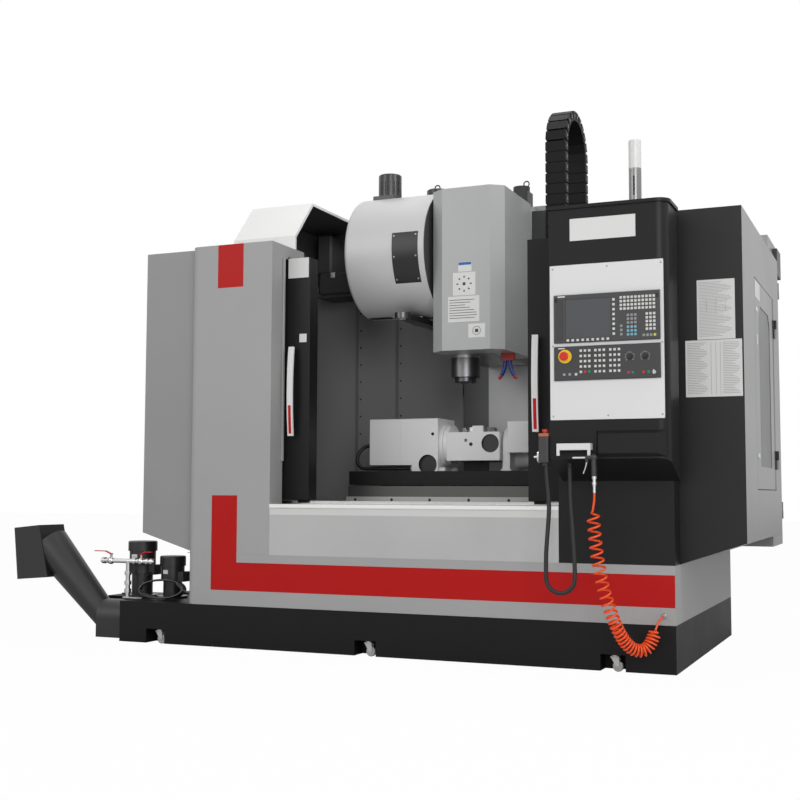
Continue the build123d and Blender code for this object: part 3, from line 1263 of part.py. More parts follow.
# Chip conveyor housing: a trough beside the tank, a widening inclined tube and an outlet box that
# is open below
tube_run = hypot(tube_top_x - tube_low_x, tube_top_z - tube_low_z)
tube_dir = ((tube_top_x - tube_low_x) / tube_run, 0, (tube_top_z - tube_low_z) / tube_run)
tube_plane = Plane(origin=(tube_low_x, tube_y, tube_low_z), x_dir=(0, 1, 0), z_dir=tube_dir)
tube_end_plane = Plane(origin=(tube_top_x, tube_y, tube_top_z), x_dir=(0, 1, 0), z_dir=tube_dir)
outlet_corners = [outlet_top_left, outlet_low_left, outlet_low_right, outlet_top_right]
with BuildPart() as conveyor_housing:
    with BuildSketch(tube_plane):
        Circle(tube_low_radius)
    with BuildSketch(tube_end_plane):
        Circle(tube_high_radius)
    loft()
    limits_box((trough_left, 0), (tube_y - 300, tube_y + 300), (-300, 700), Mode.SUBTRACT)
    with BuildSketch(front_plane(tube_y + outlet_half)):
        with BuildLine():
            Polyline(*outlet_corners, close=True)
        make_face()
    extrude(amount=2 * outlet_half)
    with BuildSketch(front_plane(tube_y + outlet_half - sheet)):
        with BuildLine():
            Polyline((outlet_top_left[0] + sheet, outlet_top_left[1] - sheet),
                     (outlet_low_left[0] + sheet, outlet_low_left[1] - 3 * through),
                     (outlet_low_right[0] - sheet, outlet_low_right[1] - 3 * through),
                     (outlet_top_right[0] - sheet, outlet_top_right[1] - sheet), close=True)
        make_face()
    extrude(amount=2 * outlet_half - 2 * sheet, mode=Mode.SUBTRACT)
    with BuildSketch(tube_plane):
        Circle(tube_low_radius - tube_wall)
    with BuildSketch(tube_end_plane):
        Circle(tube_high_radius - tube_wall)
    loft(mode=Mode.SUBTRACT)
    limits_box((trough_left, tank_left), (tube_y - trough_half, tube_y + trough_half), (trough_low, trough_spring))
    rod((trough_left, tube_y, trough_spring), "X", trough_half, tank_left - trough_left)
    limits_box((trough_left + tube_wall, tank_left - tube_wall),
               (tube_y - trough_half + tube_wall, tube_y + trough_half - tube_wall),
               (trough_low + tube_wall, trough_spring), Mode.SUBTRACT)
    rod((trough_left + tube_wall, tube_y, trough_spring), "X", trough_half - tube_wall,
        tank_left - trough_left - 2 * tube_wall, Mode.SUBTRACT)
    rod((trough_left - through, tube_y, trough_spring), "X", 58, tube_wall + 2 * through, Mode.SUBTRACT)
    hanger_plane = Plane(origin=tube_plane.from_local_coords((0, 0, 510)), x_dir=(0, 1, 0), z_dir=tube_dir)
    with BuildSketch(hanger_plane):
        Rectangle(189, 30)
        Circle(28)
        Circle(screw_shaft_radius + bearing_gap, mode=Mode.SUBTRACT)
    extrude(amount=14)
save(conveyor_housing, "conveyor_housing")

# Conveyor screw: a shaft with a helical flight, inside the tube
with BuildPart() as conveyor_screw:
    screw_low = 190.0
    screw_plane = Plane(origin=tube_plane.from_local_coords((0, 0, screw_low)), x_dir=(0, 1, 0), z_dir=tube_dir)
    screw_length = tube_run - screw_low - 30
    with BuildSketch(screw_plane):
        Circle(screw_shaft_radius)
    extrude(amount=screw_length)
    blade_count = int(screw_length / screw_pitch)
    for turn in range(blade_count):
        blade_plane = Plane(origin=screw_plane.from_local_coords((0, 0, screw_pitch * (turn + 0.5))),
                            x_dir=(0, 1, 0), z_dir=tube_dir).rotated((14, 0, 0))
        with BuildSketch(blade_plane):
            Circle(screw_radius)
        extrude(amount=screw_blade)
save(conveyor_screw, "conveyor_screw")

# Coolant pumps: two immersion pumps, each a flange, a neck and a capped motor
with BuildPart() as coolant_pumps:
    for x, top in zip(pump_xs, pump_tops):
        middle = tank_top + (top - tank_top) * 0.42
        scale = (top - tank_top) / (pump_tops[0] - tank_top)
        radius = pump_radius * (0.55 + 0.45 * scale)
        rod((x, pump_y, tank_top), "Z", radius + 14, 12)
        rod((x, pump_y, tank_top + 12), "Z", radius * 0.72, middle - tank_top - 12)
        rod((x, pump_y, middle), "Z", radius * 0.9, top - middle - 34)
        rod((x, pump_y, top - 56), "Z", radius, 56)
        rims = coolant_pumps.edges().filter_by(GeomType.CIRCLE)
        fillet([rim for rim in rims if abs(rim.arc_center.Z - top) + abs(rim.arc_center.X - x) < 1], 8)
        limits_box((x + radius * 0.6, x + radius * 1.25), (pump_y - 34, pump_y + 34), (middle - 6, middle + 50))
save(coolant_pumps, "coolant_pumps")

# Pump manifold: a level pipe with unions, on an upright pipe from the tank
with BuildPart() as pump_manifold:
    rod((manifold_left, manifold_y, manifold_z), "X", pipe_radius, manifold_right - manifold_left)
    for x in (manifold_left + 8, manifold_left + 48, valve_xs[1] - 52, valve_xs[1] + 34, manifold_right - 26):
        rod((x, manifold_y, manifold_z), "X", pipe_radius + 5, 18)
    rod((-1788, manifold_y, tank_top), "Z", pipe_radius, manifold_z - tank_top)
    limits_box((-1812, tank_left + 40), (manifold_y - 16, manifold_y + 16), (tank_top, tank_top + 6))
    for z in (tank_top + 30, tank_top + 74, tank_top + 128):
        rod((-1788, manifold_y, z), "Z", pipe_radius + 6, 22)
    for x in valve_xs:
        with Locations((x, manifold_y, manifold_z)):
            Sphere(pipe_radius + 8)
        rod((x, manifold_y, manifold_z), "Z", 7, 34)
save(pump_manifold, "pump_manifold")

# Valve levers, a bent red strip on each valve stem
for number, x in enumerate(valve_xs, start=1):
    reach = -112.0 if number == 1 else 70.0
    with BuildPart() as valve_lever:
        stem_top = manifold_z + 34
        rod((x, manifold_y, stem_top + running_gap), "Z", 10, 6)
        low, high = sorted((0.0, reach))
        with BuildSketch(front_plane(manifold_y + 8)):
            with BuildLine():
                Polyline((x, stem_top + running_gap), (x + reach * 0.35, stem_top + 16), (x + reach, stem_top + 16),
                         (x + reach, stem_top + 21), (x + reach * 0.33, stem_top + 21), (x, stem_top + 6), close=True)
            make_face()
        extrude(amount=16)
    save(valve_lever, f"valve_lever_{number}")

# Gun bracket, a folded channel on the front of the control box
with BuildPart() as gun_bracket:
    bracket_front = box_front - bracket_depth
    limits_box((bracket_left, bracket_right), (bracket_front, box_front), (bracket_web, bracket_high))
    limits_box((bracket_left + sheet, bracket_right - sheet), (bracket_front + sheet, box_front - sheet),
               (bracket_web - through, bracket_high - sheet), Mode.SUBTRACT)
    for x in (bracket_left, bracket_right - 14):
        limits_box((x, x + 14), (bracket_front, bracket_front + sheet), (bracket_low, bracket_web))
save(gun_bracket, "gun_bracket")

# Air gun hanging on the bracket's right leg: body, barrel, grip and hose connector
with BuildPart() as air_gun:
    rod((barrel_tip, gun_y - 22, barrel_z), "X", 4.5, 58)
    rod((barrel_tip + 58, gun_y - 22, barrel_z), "X", 9, gun_x - barrel_tip - 58)
    with Locations((gun_x, gun_y - 22, barrel_z)):
        Sphere(15)
    with BuildSketch(Plane.XY.offset(896)) as grip_low:
        with Locations((gun_x + 1, gun_y - 22)):
            Ellipse(12, 15)
    with BuildSketch(Plane.XY.offset(970)) as grip_high:
        with Locations((gun_x, gun_y - 22)):
            Ellipse(11, 14)
    loft()
    rod((gun_x + 1, gun_y - 22, 884), "Z", 10, 12)
    rod((gun_x + 1, gun_y - 22, 848), "Z", 7, 36)
    rod((gun_x + 1, gun_y - 22, 858), "Z", 9.5, 12)
    rod((gun_x + 1, gun_y - 22, 822), "Z", 6, 26)
    for side in (-1, 1):
        limits_box((trigger_x - 5, trigger_x + 5), sorted((gun_y - 22 + side * 5.3, gun_y - 22 + side * 8)),
                   (trigger_z - 5, barrel_z - 2))
    rod((trigger_x, gun_y - 30, trigger_z), "Y", 2, 16)
save(air_gun, "air_gun")

# Gun trigger, a curved lever in front of the grip, with a knuckle on a pin under the barrel
with BuildPart() as gun_trigger:
    rod((trigger_x, gun_y - 27, trigger_z), "Y", 4, 10)
    with BuildSketch(front_plane(gun_y - 22 + 5)):
        with BuildLine():
            Spline((trigger_x + 3.5, trigger_z), (gun_x - 33, 940), (gun_x - 46, 906))
            Line((gun_x - 46, 906), (gun_x - 50, 908))
            Spline((gun_x - 50, 908), (gun_x - 38, 941), (trigger_x - 3.5, trigger_z))
            Line((trigger_x - 3.5, trigger_z), (trigger_x + 3.5, trigger_z))
        make_face()
    extrude(amount=10)
    rod((trigger_x, gun_y - 27 - through, trigger_z), "Y", 2 + bearing_gap, 10 + 2 * through, Mode.SUBTRACT)
save(gun_trigger, "gun_trigger")

# Hand-wheel pendant on the left side of the control box, with its clip, stop button and dial bore
with BuildPart() as pendant:
    half_x = 24.0
    half_y = 36.0
    with BuildSketch(Plane.XY.offset(pendant_low)):
        with Locations((pendant_x, pendant_y)):
            RectangleRounded(2 * half_x, 2 * half_y, 8)
    extrude(amount=pendant_high - pendant_low)
    limits_box((pendant_x + half_x, box_left), (pendant_y - 14, pendant_y + 14), (pendant_high - 50, pendant_high - 16))
    rod((pendant_x, pendant_y, pendant_high), "Z", 9, 6)
    rod((pendant_x, pendant_y, pendant_high + 6), "Z", 14, 13)
    rod((pendant_x - half_x - through, pendant_y, dial_z), "X", 6 + bearing_gap, 16 + through, Mode.SUBTRACT)
    rod((pendant_x, pendant_y, pendant_low - 14), "Z", 13, 14)
save(pendant, "pendant")

# Pendant dial, a knurled hand wheel with its crank knob
with BuildPart() as pendant_dial:
    dial_face = pendant_x - half_x - running_gap
    rod((dial_face - 9, pendant_y, dial_z), "X", dial_radius, 9)
    rod((dial_face, pendant_y, dial_z), "X", 6, 14)
    rod((dial_face - 25, pendant_y - 16, dial_z), "X", 5, 16)
save(pendant_dial, "pendant_dial")


def corner_radii(points, share=0.45):
    """The largest arc for each corner of a route: its share of the shorter run."""
    radii = []
    for before, corner, after in zip(points, points[1:], points[2:]):
        into = Vector(*corner) - Vector(*before)
        out = Vector(*after) - Vector(*corner)
        turn = radians(into.get_angle(out))
        radii.append(share * min(into.length, out.length) / tan(turn / 2))
    return radii


def run_length(route):
    """Length of all the edges of a drawn route."""
    return sum(edge.length for edge in route.edges())


def route_start(points):
    """The plane across the first run of a route."""
    return Plane(origin=points[0], z_dir=Vector(*points[1]) - Vector(*points[0]))


# Pendant cable, a corrugated conduit from the pendant down, round and up into the control box
loop_radius = 66.0
loop_x = 823.0
loop_z = 437.0
loop_corner = loop_radius / cos(radians(18))
cable_y = pendant_y
pendant_cable_points = [
    (pendant_x + 5, cable_y, pendant_low - 14 - running_gap),
    (pendant_x + 5, cable_y, 900),
    (pendant_x + 13, cable_y - 1, 830),
    (pendant_x + 17, cable_y - 2, 760),
    (pendant_x + 13, cable_y - 3, 690),
    (pendant_x + 6, cable_y - 3, 610),
    (pendant_x + 1, cable_y - 3, 540),
    (pendant_x, cable_y - 2, 475),
]
for step in range(5):
    angle = radians(198 + 36 * step)
    pendant_cable_points.append((loop_x + loop_corner * cos(angle), cable_y - 2 + 2 * step,
                                 loop_z + loop_corner * sin(angle)))
pendant_cable_points += [
    (pendant_x + 131, cable_y + 9, 480),
    (pendant_x + 128, cable_y + 13, 560),
    (pendant_x + 121, cable_y + 18, 660),
    (pendant_x + 111, cable_y + 25, 765),
    (pendant_x + 107, cable_y + 30, 850),
    (cable_gland_x, cable_gland_y, cable_gland_z - running_gap),
]
cable_radii = corner_radii(pendant_cable_points)
with BuildPart() as pendant_cable:
    with BuildLine() as cable_route:
        FilletPolyline(*pendant_cable_points, radius=cable_radii)
    with BuildSketch(route_start(pendant_cable_points)):
        Circle(cable_radius)
    sweep(path=cable_route.line)
print("pendant cable", round(run_length(cable_route)), [round(r) for r in cable_radii])
save(pendant_cable, "pendant_cable")

# Rotary table hose, a loop from the motor cover round into the gear case
hose_high = 1088.0
hose_low = 955.0
turn_radius = (hose_high - hose_low) / 2
turn_x = motor_left - 41
turn_ys = (-30, -40, -60, -80, -92)
rotary_hose_points = [(motor_left - 14 - running_gap, -30, hose_high)]
for step, hose_y in enumerate(turn_ys):
    angle = radians(108 + 36 * step)
    reach = turn_radius / cos(radians(18))
    rotary_hose_points.append((turn_x + reach * cos(angle), hose_y, hose_low + turn_radius + reach * sin(angle)))
rotary_hose_points += [
    (motor_left - 10, -95.5, hose_low + 0.8),
    (motor_left + 70, -96, hose_low - 0.6),
    (motor_left + 150, -96, hose_low),
    (gear_left - 14 - running_gap, -96, hose_low),
]
rotary_hose_radii = corner_radii(rotary_hose_points)
with BuildPart() as rotary_hose:
    with BuildLine() as rotary_route:
        FilletPolyline(*rotary_hose_points, radius=rotary_hose_radii)
    with BuildSketch(route_start(rotary_hose_points)):
        Circle(rotary_hose_radius)
    sweep(path=rotary_route.line)
print("rotary hose", round(run_length(rotary_route)), [round(r) for r in rotary_hose_radii])
save(rotary_hose, "rotary_hose")

# Coiled air hose: a thin tail at each end of the fat tube that the coil fills
hose_top_tail = [
    (gun_x + 1, gun_y - 22, 822 - running_gap),
    (gun_x + 1, gun_y - 22, 796),
    (gun_x - 3, gun_y - 21, 770),
    (gun_x - 8, gun_y - 20, 742),
]
hose_coil_points = [
    (gun_x - 8, gun_y - 20, 742),
    (gun_x - 1, gun_y - 17, 640),
    (gun_x + 8, gun_y - 10, 540),
    (gun_x + 22, gun_y + 2, 440),
    (gun_x + 42, gun_y + 22, 345),
    (gun_x + 66, gun_y + 52, 255),
    (gun_x + 92, gun_y + 84, 180),
    (gun_x + 128, gun_y + 120, 128),
    (gun_x + 176, gun_y + 152, 118),
    (gun_x + 208, gun_y + 172, 158),
    (gun_x + 222, gun_y + 186, 212),
]
hose_low_tail = [
    (gun_x + 222, gun_y + 186, 212),
    (gun_x + 232, gun_y + 195, 246),
    (fitting_x, front_y - 46, fitting_z),
    (fitting_x, front_y - 14 - running_gap, fitting_z),
]
hose_radii = [corner_radii(points) for points in (hose_top_tail, hose_coil_points, hose_low_tail)]
with BuildPart() as air_hose:
    with BuildLine() as top_route:
        FilletPolyline(*hose_top_tail, radius=hose_radii[0])
    with BuildSketch(route_start(hose_top_tail)):
        Circle(hose_radius)
    sweep(path=top_route.line)
    with BuildLine() as coil_route:
        FilletPolyline(*hose_coil_points, radius=hose_radii[1])
    with BuildSketch(route_start(hose_coil_points)):
        Circle(coil_radius)
    sweep(path=coil_route.line)
    with BuildLine() as low_route:
        FilletPolyline(*hose_low_tail, radius=hose_radii[2])
    with BuildSketch(route_start(hose_low_tail)):
        Circle(hose_radius)
    sweep(path=low_route.line)
print("air hose", [round(run_length(route)) for route in (top_route, coil_route, low_route)],
      [[round(r) for r in radii] for radii in hose_radii])
save(air_hose, "air_hose")
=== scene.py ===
# %% [markdown]
# A vertical machining center, dressed for a photograph. The CAD solids come in as a fixed frame
# in metres. This notebook gives them their paint, builds what bends or is too fine for CAD, and
# sets a studio round them. Each step first says what the real thing is and why it is made so.

# %% Load the frame
import bpy
import bmesh
import math
from mathutils import Matrix, Vector


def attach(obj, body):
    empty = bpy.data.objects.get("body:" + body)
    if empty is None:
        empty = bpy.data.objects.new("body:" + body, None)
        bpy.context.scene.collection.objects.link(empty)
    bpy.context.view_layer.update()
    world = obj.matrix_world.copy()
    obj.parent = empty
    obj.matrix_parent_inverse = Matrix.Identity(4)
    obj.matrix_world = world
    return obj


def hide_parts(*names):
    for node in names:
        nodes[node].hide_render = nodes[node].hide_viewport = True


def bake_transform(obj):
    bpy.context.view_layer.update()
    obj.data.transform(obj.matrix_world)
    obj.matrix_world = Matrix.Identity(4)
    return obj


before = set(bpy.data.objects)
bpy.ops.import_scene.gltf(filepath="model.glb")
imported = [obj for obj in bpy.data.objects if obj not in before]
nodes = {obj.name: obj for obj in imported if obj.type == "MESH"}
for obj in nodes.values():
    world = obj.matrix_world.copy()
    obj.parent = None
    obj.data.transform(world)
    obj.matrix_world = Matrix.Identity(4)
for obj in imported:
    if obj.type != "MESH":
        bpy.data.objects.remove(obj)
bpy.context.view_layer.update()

# %% [markdown]
# The camera stands at about waist height, to the right of the machine and six metres back, and looks
# left and slightly up. Its place could be found by eye, but straight edges of the machine fix it
# much better. It comes first, so that every later piece can be compared with the photograph.

# %% Camera
lens = bpy.data.cameras.new("studio_camera")
lens.lens = 54.768
lens.sensor_width = 36.0
lens.clip_end = 80.0
camera = bpy.data.objects.new("studio_camera", lens)
bpy.context.scene.collection.objects.link(camera)
yaw, pitch, roll = math.radians(23.2216), math.radians(4.3041), math.radians(0.1825)
look = Vector((-math.sin(yaw) * math.cos(pitch), math.cos(yaw) * math.cos(pitch), math.sin(pitch)))
right = Vector((math.cos(yaw), math.sin(yaw), 0.0))
up = right.cross(look)
right, up = (right * math.cos(roll) + up * math.sin(roll)), (up * math.cos(roll) - right * math.sin(roll))
turn = Matrix((right, up, -look)).transposed().to_4x4()
camera.matrix_world = Matrix.Translation((2.33933, -6.38487, 0.82533)) @ turn
bpy.context.scene.camera = camera
bpy.context.scene.view_settings.view_transform = "Standard"
print("camera looks along", [round(v, 3) for v in look])

# %% [markdown]
# Paint charts give colours as the eye sees them, from 0 to 255. Blender mixes light in linear
# values, so one small function turns a chart colour into a linear one.

# %% Chart colours
def tone(red, green, blue):
    """A linear colour from chart values between 0 and 255."""
    values = []
    for chart in (red, green, blue):
        c = chart / 255
        values.append(c / 12.92 if c <= 0.04045 else ((c + 0.055) / 1.055) ** 2.4)
    return (*values, 1.0)


def grey(value):
    """A neutral grey by its one chart value."""
    return tone(value, value, value)


PANEL_GREY = grey(163)
BLACK = tone(23, 23, 24)
RED = tone(176, 10, 8)
print("grey paint in linear light:", [round(v, 3) for v in PANEL_GREY])

# %% [markdown]
# A finish is a small tree of shader nodes. Each node needs a type, some settings and inputs that are
# either plain values or wires from other nodes. One function does all of that in a line, and on it
# stand the two masks that this machine needs. Tape leaves a band between limits on X, Y and Z, as a
# painter's tape does, and a second mask finds the faces that look into a shell, to give them painted shade.

# %% Nodes and masks
def add(tree, kind, inputs=None, **settings):
    """A new node: settings first, then each input is wired to a socket or set to a plain value."""
    node = tree.nodes.new(kind)
    for setting, value in settings.items():
        setattr(node, setting, value)
    for socket, value in (inputs or {}).items():
        if isinstance(value, bpy.types.NodeSocket):
            tree.links.new(value, node.inputs[socket])
        else:
            node.inputs[socket].default_value = value
    return node


def taped(tree, split, limits):
    """A mask that is 1 between the given limits on X, Y and Z; None leaves an axis open."""
    mask = None
    for axis, pair in zip("XYZ", limits):
        if pair is None:
            continue
        middle, reach = (pair[0] + pair[1]) / 2, (pair[1] - pair[0]) / 2
        inside = add(tree, "ShaderNodeMath", {0: split.outputs[axis], 1: middle, 2: reach},
                     operation="COMPARE").outputs[0]
        if mask is None:
            mask = inside
        else:
            mask = add(tree, "ShaderNodeMath", {0: mask, 1: inside}, operation="MULTIPLY").outputs[0]
    return mask


def facing_in(tree, place, centre):
    """A mask that is 1 where a surface looks towards a centre, as the inside of a shell does."""
    spoke = add(tree, "ShaderNodeVectorMath", {0: place.outputs["Object"], 1: centre}, operation="SUBTRACT")
    normal = add(tree, "ShaderNodeNewGeometry").outputs["True Normal"]
    outward = add(tree, "ShaderNodeVectorMath", {0: spoke.outputs[0], 1: normal}, operation="DOT_PRODUCT")
    towards = add(tree, "ShaderNodeMath", {0: outward.outputs["Value"], 1: 0.0}, operation="LESS_THAN")
    return towards.outputs[0]


def mixed(tree, factor, first, second):
    """A colour mix; each of the three may be a socket or a plain value."""
    return add(tree, "ShaderNodeMix", {0: factor, 6: first, 7: second}, data_type="RGBA").outputs[2]


print("masks: taped bands and inner faces")

# %% [markdown]
# Nearly every surface is sprayed sheet metal. Real spray paint is never one flat colour: it drifts
# a little over a panel, it has a fine orange peel, and dust dulls it in places. Noise textures read
# in object coordinates give all three, and need no image and no unwrapping. A bevel node rounds the
# shading of sharp edges, as paint does, without more geometry.

# %% Sprayed and bare metal
CLOUD_SCALE, CLOUD_DETAIL = 2.3, 4.0
PEEL_DETAIL, PEEL_HEIGHT = 2.0, 0.0006


def paint(name, colour, rough=0.42, metal=0.0, drift=0.06, peel=0.12, peel_scale=260.0, bands=(),
          specular=0.5, stretch=None, soft_edge=0.0015, inner=None):
    """A finish with drifting colour, orange peel, uneven gloss, softened edges and taped bands.
    A band may name a third value, its metal share; inner is a centre and the painted shade colour of the
    faces towards it."""
    material = bpy.data.materials.new(name)
    material.use_nodes = True
    tree = material.node_tree
    shader = tree.nodes["Principled BSDF"]
    place = add(tree, "ShaderNodeTexCoord")
    split = add(tree, "ShaderNodeSeparateXYZ", {0: place.outputs["Object"]})
    where = place.outputs["Object"]
    if stretch:
        where = add(tree, "ShaderNodeVectorMath", {0: where, 1: stretch}, operation="MULTIPLY").outputs[0]

    cloud = add(tree, "ShaderNodeTexNoise", {"Vector": where, "Scale": CLOUD_SCALE, "Detail": CLOUD_DETAIL})
    shaded = [min(1.0, c * (1 - drift * 2)) for c in colour[:3]] + [1.0]
    lit = [min(1.0, c * (1 + drift)) for c in colour[:3]] + [1.0]
    result = mixed(tree, cloud.outputs["Fac"], shaded, lit)
    if inner:
        result = mixed(tree, facing_in(tree, place, inner[0]), result, inner[1])
    metal_now = metal
    for limits, band_colour, *band_metal in bands:
        mask = taped(tree, split, limits)
        result = mixed(tree, mask, result, band_colour)
        if band_metal:
            metal_now = add(tree, "ShaderNodeMix", {0: mask, 2: metal_now, 3: band_metal[0]}).outputs[0]
    tree.links.new(result, shader.inputs["Base Color"])
    if isinstance(metal_now, bpy.types.NodeSocket):
        tree.links.new(metal_now, shader.inputs["Metallic"])
    else:
        shader.inputs["Metallic"].default_value = metal
    shader.inputs["Specular IOR Level"].default_value = specular

    low, high = max(0.05, rough - 0.06), min(1.0, rough + 0.08)
    gloss = add(tree, "ShaderNodeMapRange", {"Value": cloud.outputs["Fac"], "To Min": low, "To Max": high})
    tree.links.new(gloss.outputs["Result"], shader.inputs["Roughness"])
    fine = add(tree, "ShaderNodeTexNoise", {"Vector": where, "Scale": peel_scale, "Detail": PEEL_DETAIL})
    bump = add(tree, "ShaderNodeBump",
               {"Strength": peel, "Distance": PEEL_HEIGHT, "Height": fine.outputs["Fac"]})
    if soft_edge:
        edge = add(tree, "ShaderNodeBevel", {"Radius": soft_edge}, samples=3)
        tree.links.new(edge.outputs["Normal"], bump.inputs["Normal"])
    tree.links.new(bump.outputs["Normal"], shader.inputs["Normal"])
    return material


def wear(material, *names):
    """Give solids a finish."""
    for name in names:
        mesh = nodes[name].data
        mesh.materials.clear()
        mesh.materials.append(material)


print("paint helper ready")

# %% [markdown]
# The enclosure is grey with one red line that runs down the left column, turns at the base and
# runs along it to the right. The solids are separate, but the line crosses them, so its bands are
# placed by the machine's own coordinates and meet where the solids meet.

# %% Enclosure paint
column_front, skirt_front = (-0.9, -0.70), (-0.9, -0.79)
line_left, line_low = -1.146, 0.304
red_block = ((-1.128, -0.970), column_front, (1.915, 2.2))
red_fall = ((line_left, -0.990), column_front, (line_low, 0.803))
red_run = ((line_left, 1.298), skirt_front, (line_low, 0.451))
grey_bands = [(red_block, RED), (red_fall, RED), (red_run, RED)]
grey_paint = paint("enclosure_grey", PANEL_GREY, rough=0.45, bands=grey_bands, drift=0.03, specular=0.22)
wear(grey_paint, "left_column", "base_skirt")
left_paint = paint("left_wing_grey", grey(148), rough=0.45, drift=0.04, specular=0.3)
wear(left_paint, "left_wing")
wing_front = (-0.70, -0.6765)
wing_paint = paint("wing_black_and_grey", tone(140, 140, 141), rough=0.36, drift=0.06, specular=0.3,
                   bands=[((None, wing_front, None), BLACK)])
wear(wing_paint, "right_wing")
fan_box_x = (1.5515, 1.60)
cabinet_paint = paint("cabinet_grey", grey(150), rough=0.42, bands=[((fan_box_x, None, None), BLACK)])
wear(cabinet_paint, "electrical_cabinet", "cabinet_door")
# The sill's top lip is painted near white and the strip under it a paler grey: a painted highlight along
# the top edge that fades downward.
sill_front, lip_low = (-0.806, -0.79), 0.742
sill_paint = paint("sill_grey", grey(182), rough=0.34, metal=0.15, peel=0.08,
                   bands=[((None, sill_front, (lip_low, 0.770)), tone(236, 236, 235)),
                          ((None, sill_front, (0.704, lip_low)), tone(205, 205, 204))])
wear(sill_paint, "front_sill")
black_paint = paint("box_black", BLACK, rough=0.42, specular=0.22, drift=0.08)
wear(black_paint, "right_column", "control_box")
white_paint = paint("plate_white", grey(218), rough=0.38, drift=0.015)
wear(white_paint, "control_plate", "gun_bracket")
# Inside the white hood, the faces that look into it are painted dark grey: painted shade, where the shell
# shades its own inside.
hood_centre = (-1.05, 0.25, 2.2)
hood_paint = paint("hood_white", tone(240, 240, 239), rough=0.38, drift=0.03,
                   inner=(hood_centre, tone(88, 88, 89)))
wear(hood_paint, "left_hood")
print("enclosure painted in", len(bpy.data.materials), "finishes")

# %% [markdown]
# A sliding door is a black leaf with a window. Its bowed handle is white with a red strip let into
# the lower third, and stands on two black posts. Handle and leaf are one solid, so the white starts
# where the bar stands off the leaf.

# %% Doors
def leaf_paint(name, handle_x, glass_x):
    """Black leaf, white bowed handle with a red strip, and dark glass."""
    bar, strip = 0.017, 0.0085
    return paint(name, tone(22, 22, 23), rough=0.42, specular=0.2, bands=[
        (((handle_x - bar, handle_x + bar), (-0.76, -0.6775), None), tone(232, 232, 231)),
        (((handle_x - strip, handle_x + strip), (-0.76, -0.69), (1.130, 1.280)), tone(190, 24, 36)),
        ((glass_x, (-0.6485, -0.60), (1.03, 1.87)), tone(74, 78, 80)),
    ])


wear(leaf_paint("left_leaf", -0.737, (-1.38, -0.85)), "left_door")
wear(leaf_paint("right_leaf", 0.613, (0.726, 1.256)), "right_door")
side_leaf = paint("side_leaf_grey", tone(140, 140, 141), rough=0.36, drift=0.06, specular=0.3, bands=[
    (((1.58, 1.6005), (-0.12, 0.39), (0.93, 1.79)), tone(86, 87, 88)),
    (((1.6025, 1.62), (-0.215, -0.18), None), grey(226)),
    (((1.6003, 1.63), (0.50, 0.60), None), tone(28, 28, 29)),
])
wear(side_leaf, "side_door")
print("three doors painted")

# %% [markdown]
# The coolant tank and the chip conveyor are matt black sheet. The casters under the tank are zinc
# plated, so a band with a metal share covers each fork.

# %% Tank, conveyor and pumps
caster_places = (-1.490, -0.243, 1.010)
fork_bands = [(((x - 0.045, x + 0.055), (-0.782, -0.722), (0.0, 0.1095)), tone(190, 190, 188), 0.8)
              for x in caster_places]
tank_paint = paint("tank_black", tone(15, 15, 16), rough=0.5, specular=0.2, drift=0.10, bands=fork_bands)
wear(tank_paint, "coolant_tank")
conveyor_paint = paint("conveyor_black", tone(32, 32, 33), rough=0.38, specular=0.5, drift=0.1)
wear(conveyor_paint, "conveyor_housing", "coolant_pumps")
wheel_grey = paint("caster_wheel_grey", tone(176, 176, 174), rough=0.35, metal=0.4)
wear(wheel_grey, "caster_wheel_1", "caster_wheel_2", "caster_wheel_3")
print("base painted")

# %% [markdown]
# The tool magazine is a white drum with a black plate over its access hole; its right end is painted
# dark grey as painted shade. Motors are black with a gloss that shows their round shape.

# %% Magazine and motors
drum_paint = paint("drum_white", tone(198, 199, 198), rough=0.33, drift=0.03,
                   bands=[(((-0.3045, -0.1505), (-0.36, -0.24), (1.968, 2.242)), tone(26, 26, 27)),
                          # The narrow band at the drum's right end is painted dark grey: painted shade on
                          # the end face between drum and head.
                          (((-0.1165, -0.11), None, None), tone(62, 62, 64))])
wear(drum_paint, "magazine_cover")
motor_black = paint("motor_gloss_black", tone(26, 26, 28), rough=0.24, specular=0.6, drift=0.1)
wear(motor_black, "magazine_motor", "magazine_frame")
arm_steel = paint("arm_dark_steel", tone(88, 88, 90), rough=0.3, metal=0.8, peel=0.1)
wear(arm_steel, "swing_arm", "arm_shaft", "tool_disc", "spindle")
print("magazine painted")

# %% [markdown]
# Castings are painted too, but over sand-cast iron, so their bump is coarser. Ground and turned
# parts stay bare: brushed steel is a metal whose fine noise is stretched along the cut.

# %% Castings and bare steel
casting_paint = paint("casting_grey", tone(168, 170, 169), rough=0.5, peel=0.3, peel_scale=120, drift=0.05,
                      bands=[(((-0.02, 0.18), (0.70, 0.90), (2.578, 2.8)), tone(26, 26, 28)),
                             (((0.21, 0.70), (0.50, 0.95), (1.55, 2.20)), tone(30, 30, 31))])
wear(casting_paint, "bed", "column")
head_iron = paint("head_casting_dark", tone(120, 121, 121), rough=0.35, metal=0.3, peel=0.2, drift=0.08,
                  bands=[(((0.3155, 0.60), None, None), tone(30, 30, 31), 0.0),
                         ((None, None, (1.40, 1.5825)), tone(120, 120, 122), 0.95),
                         ((None, None, (1.5705, 1.5832)), grey(190), 0.9)])
wear(head_iron, "head_casting")
head_paint = paint("head_light_grey", tone(172, 173, 173), rough=0.30, drift=0.03)
wear(head_paint, "head_cover")
steel = paint("turned_steel", grey(205), rough=0.22, metal=1.0, peel=0.1, drift=0.05, stretch=(1, 1, 9))
wear(steel, "rotary_platter", "door_track", "pump_manifold", "gun_trigger", "pendant_dial")
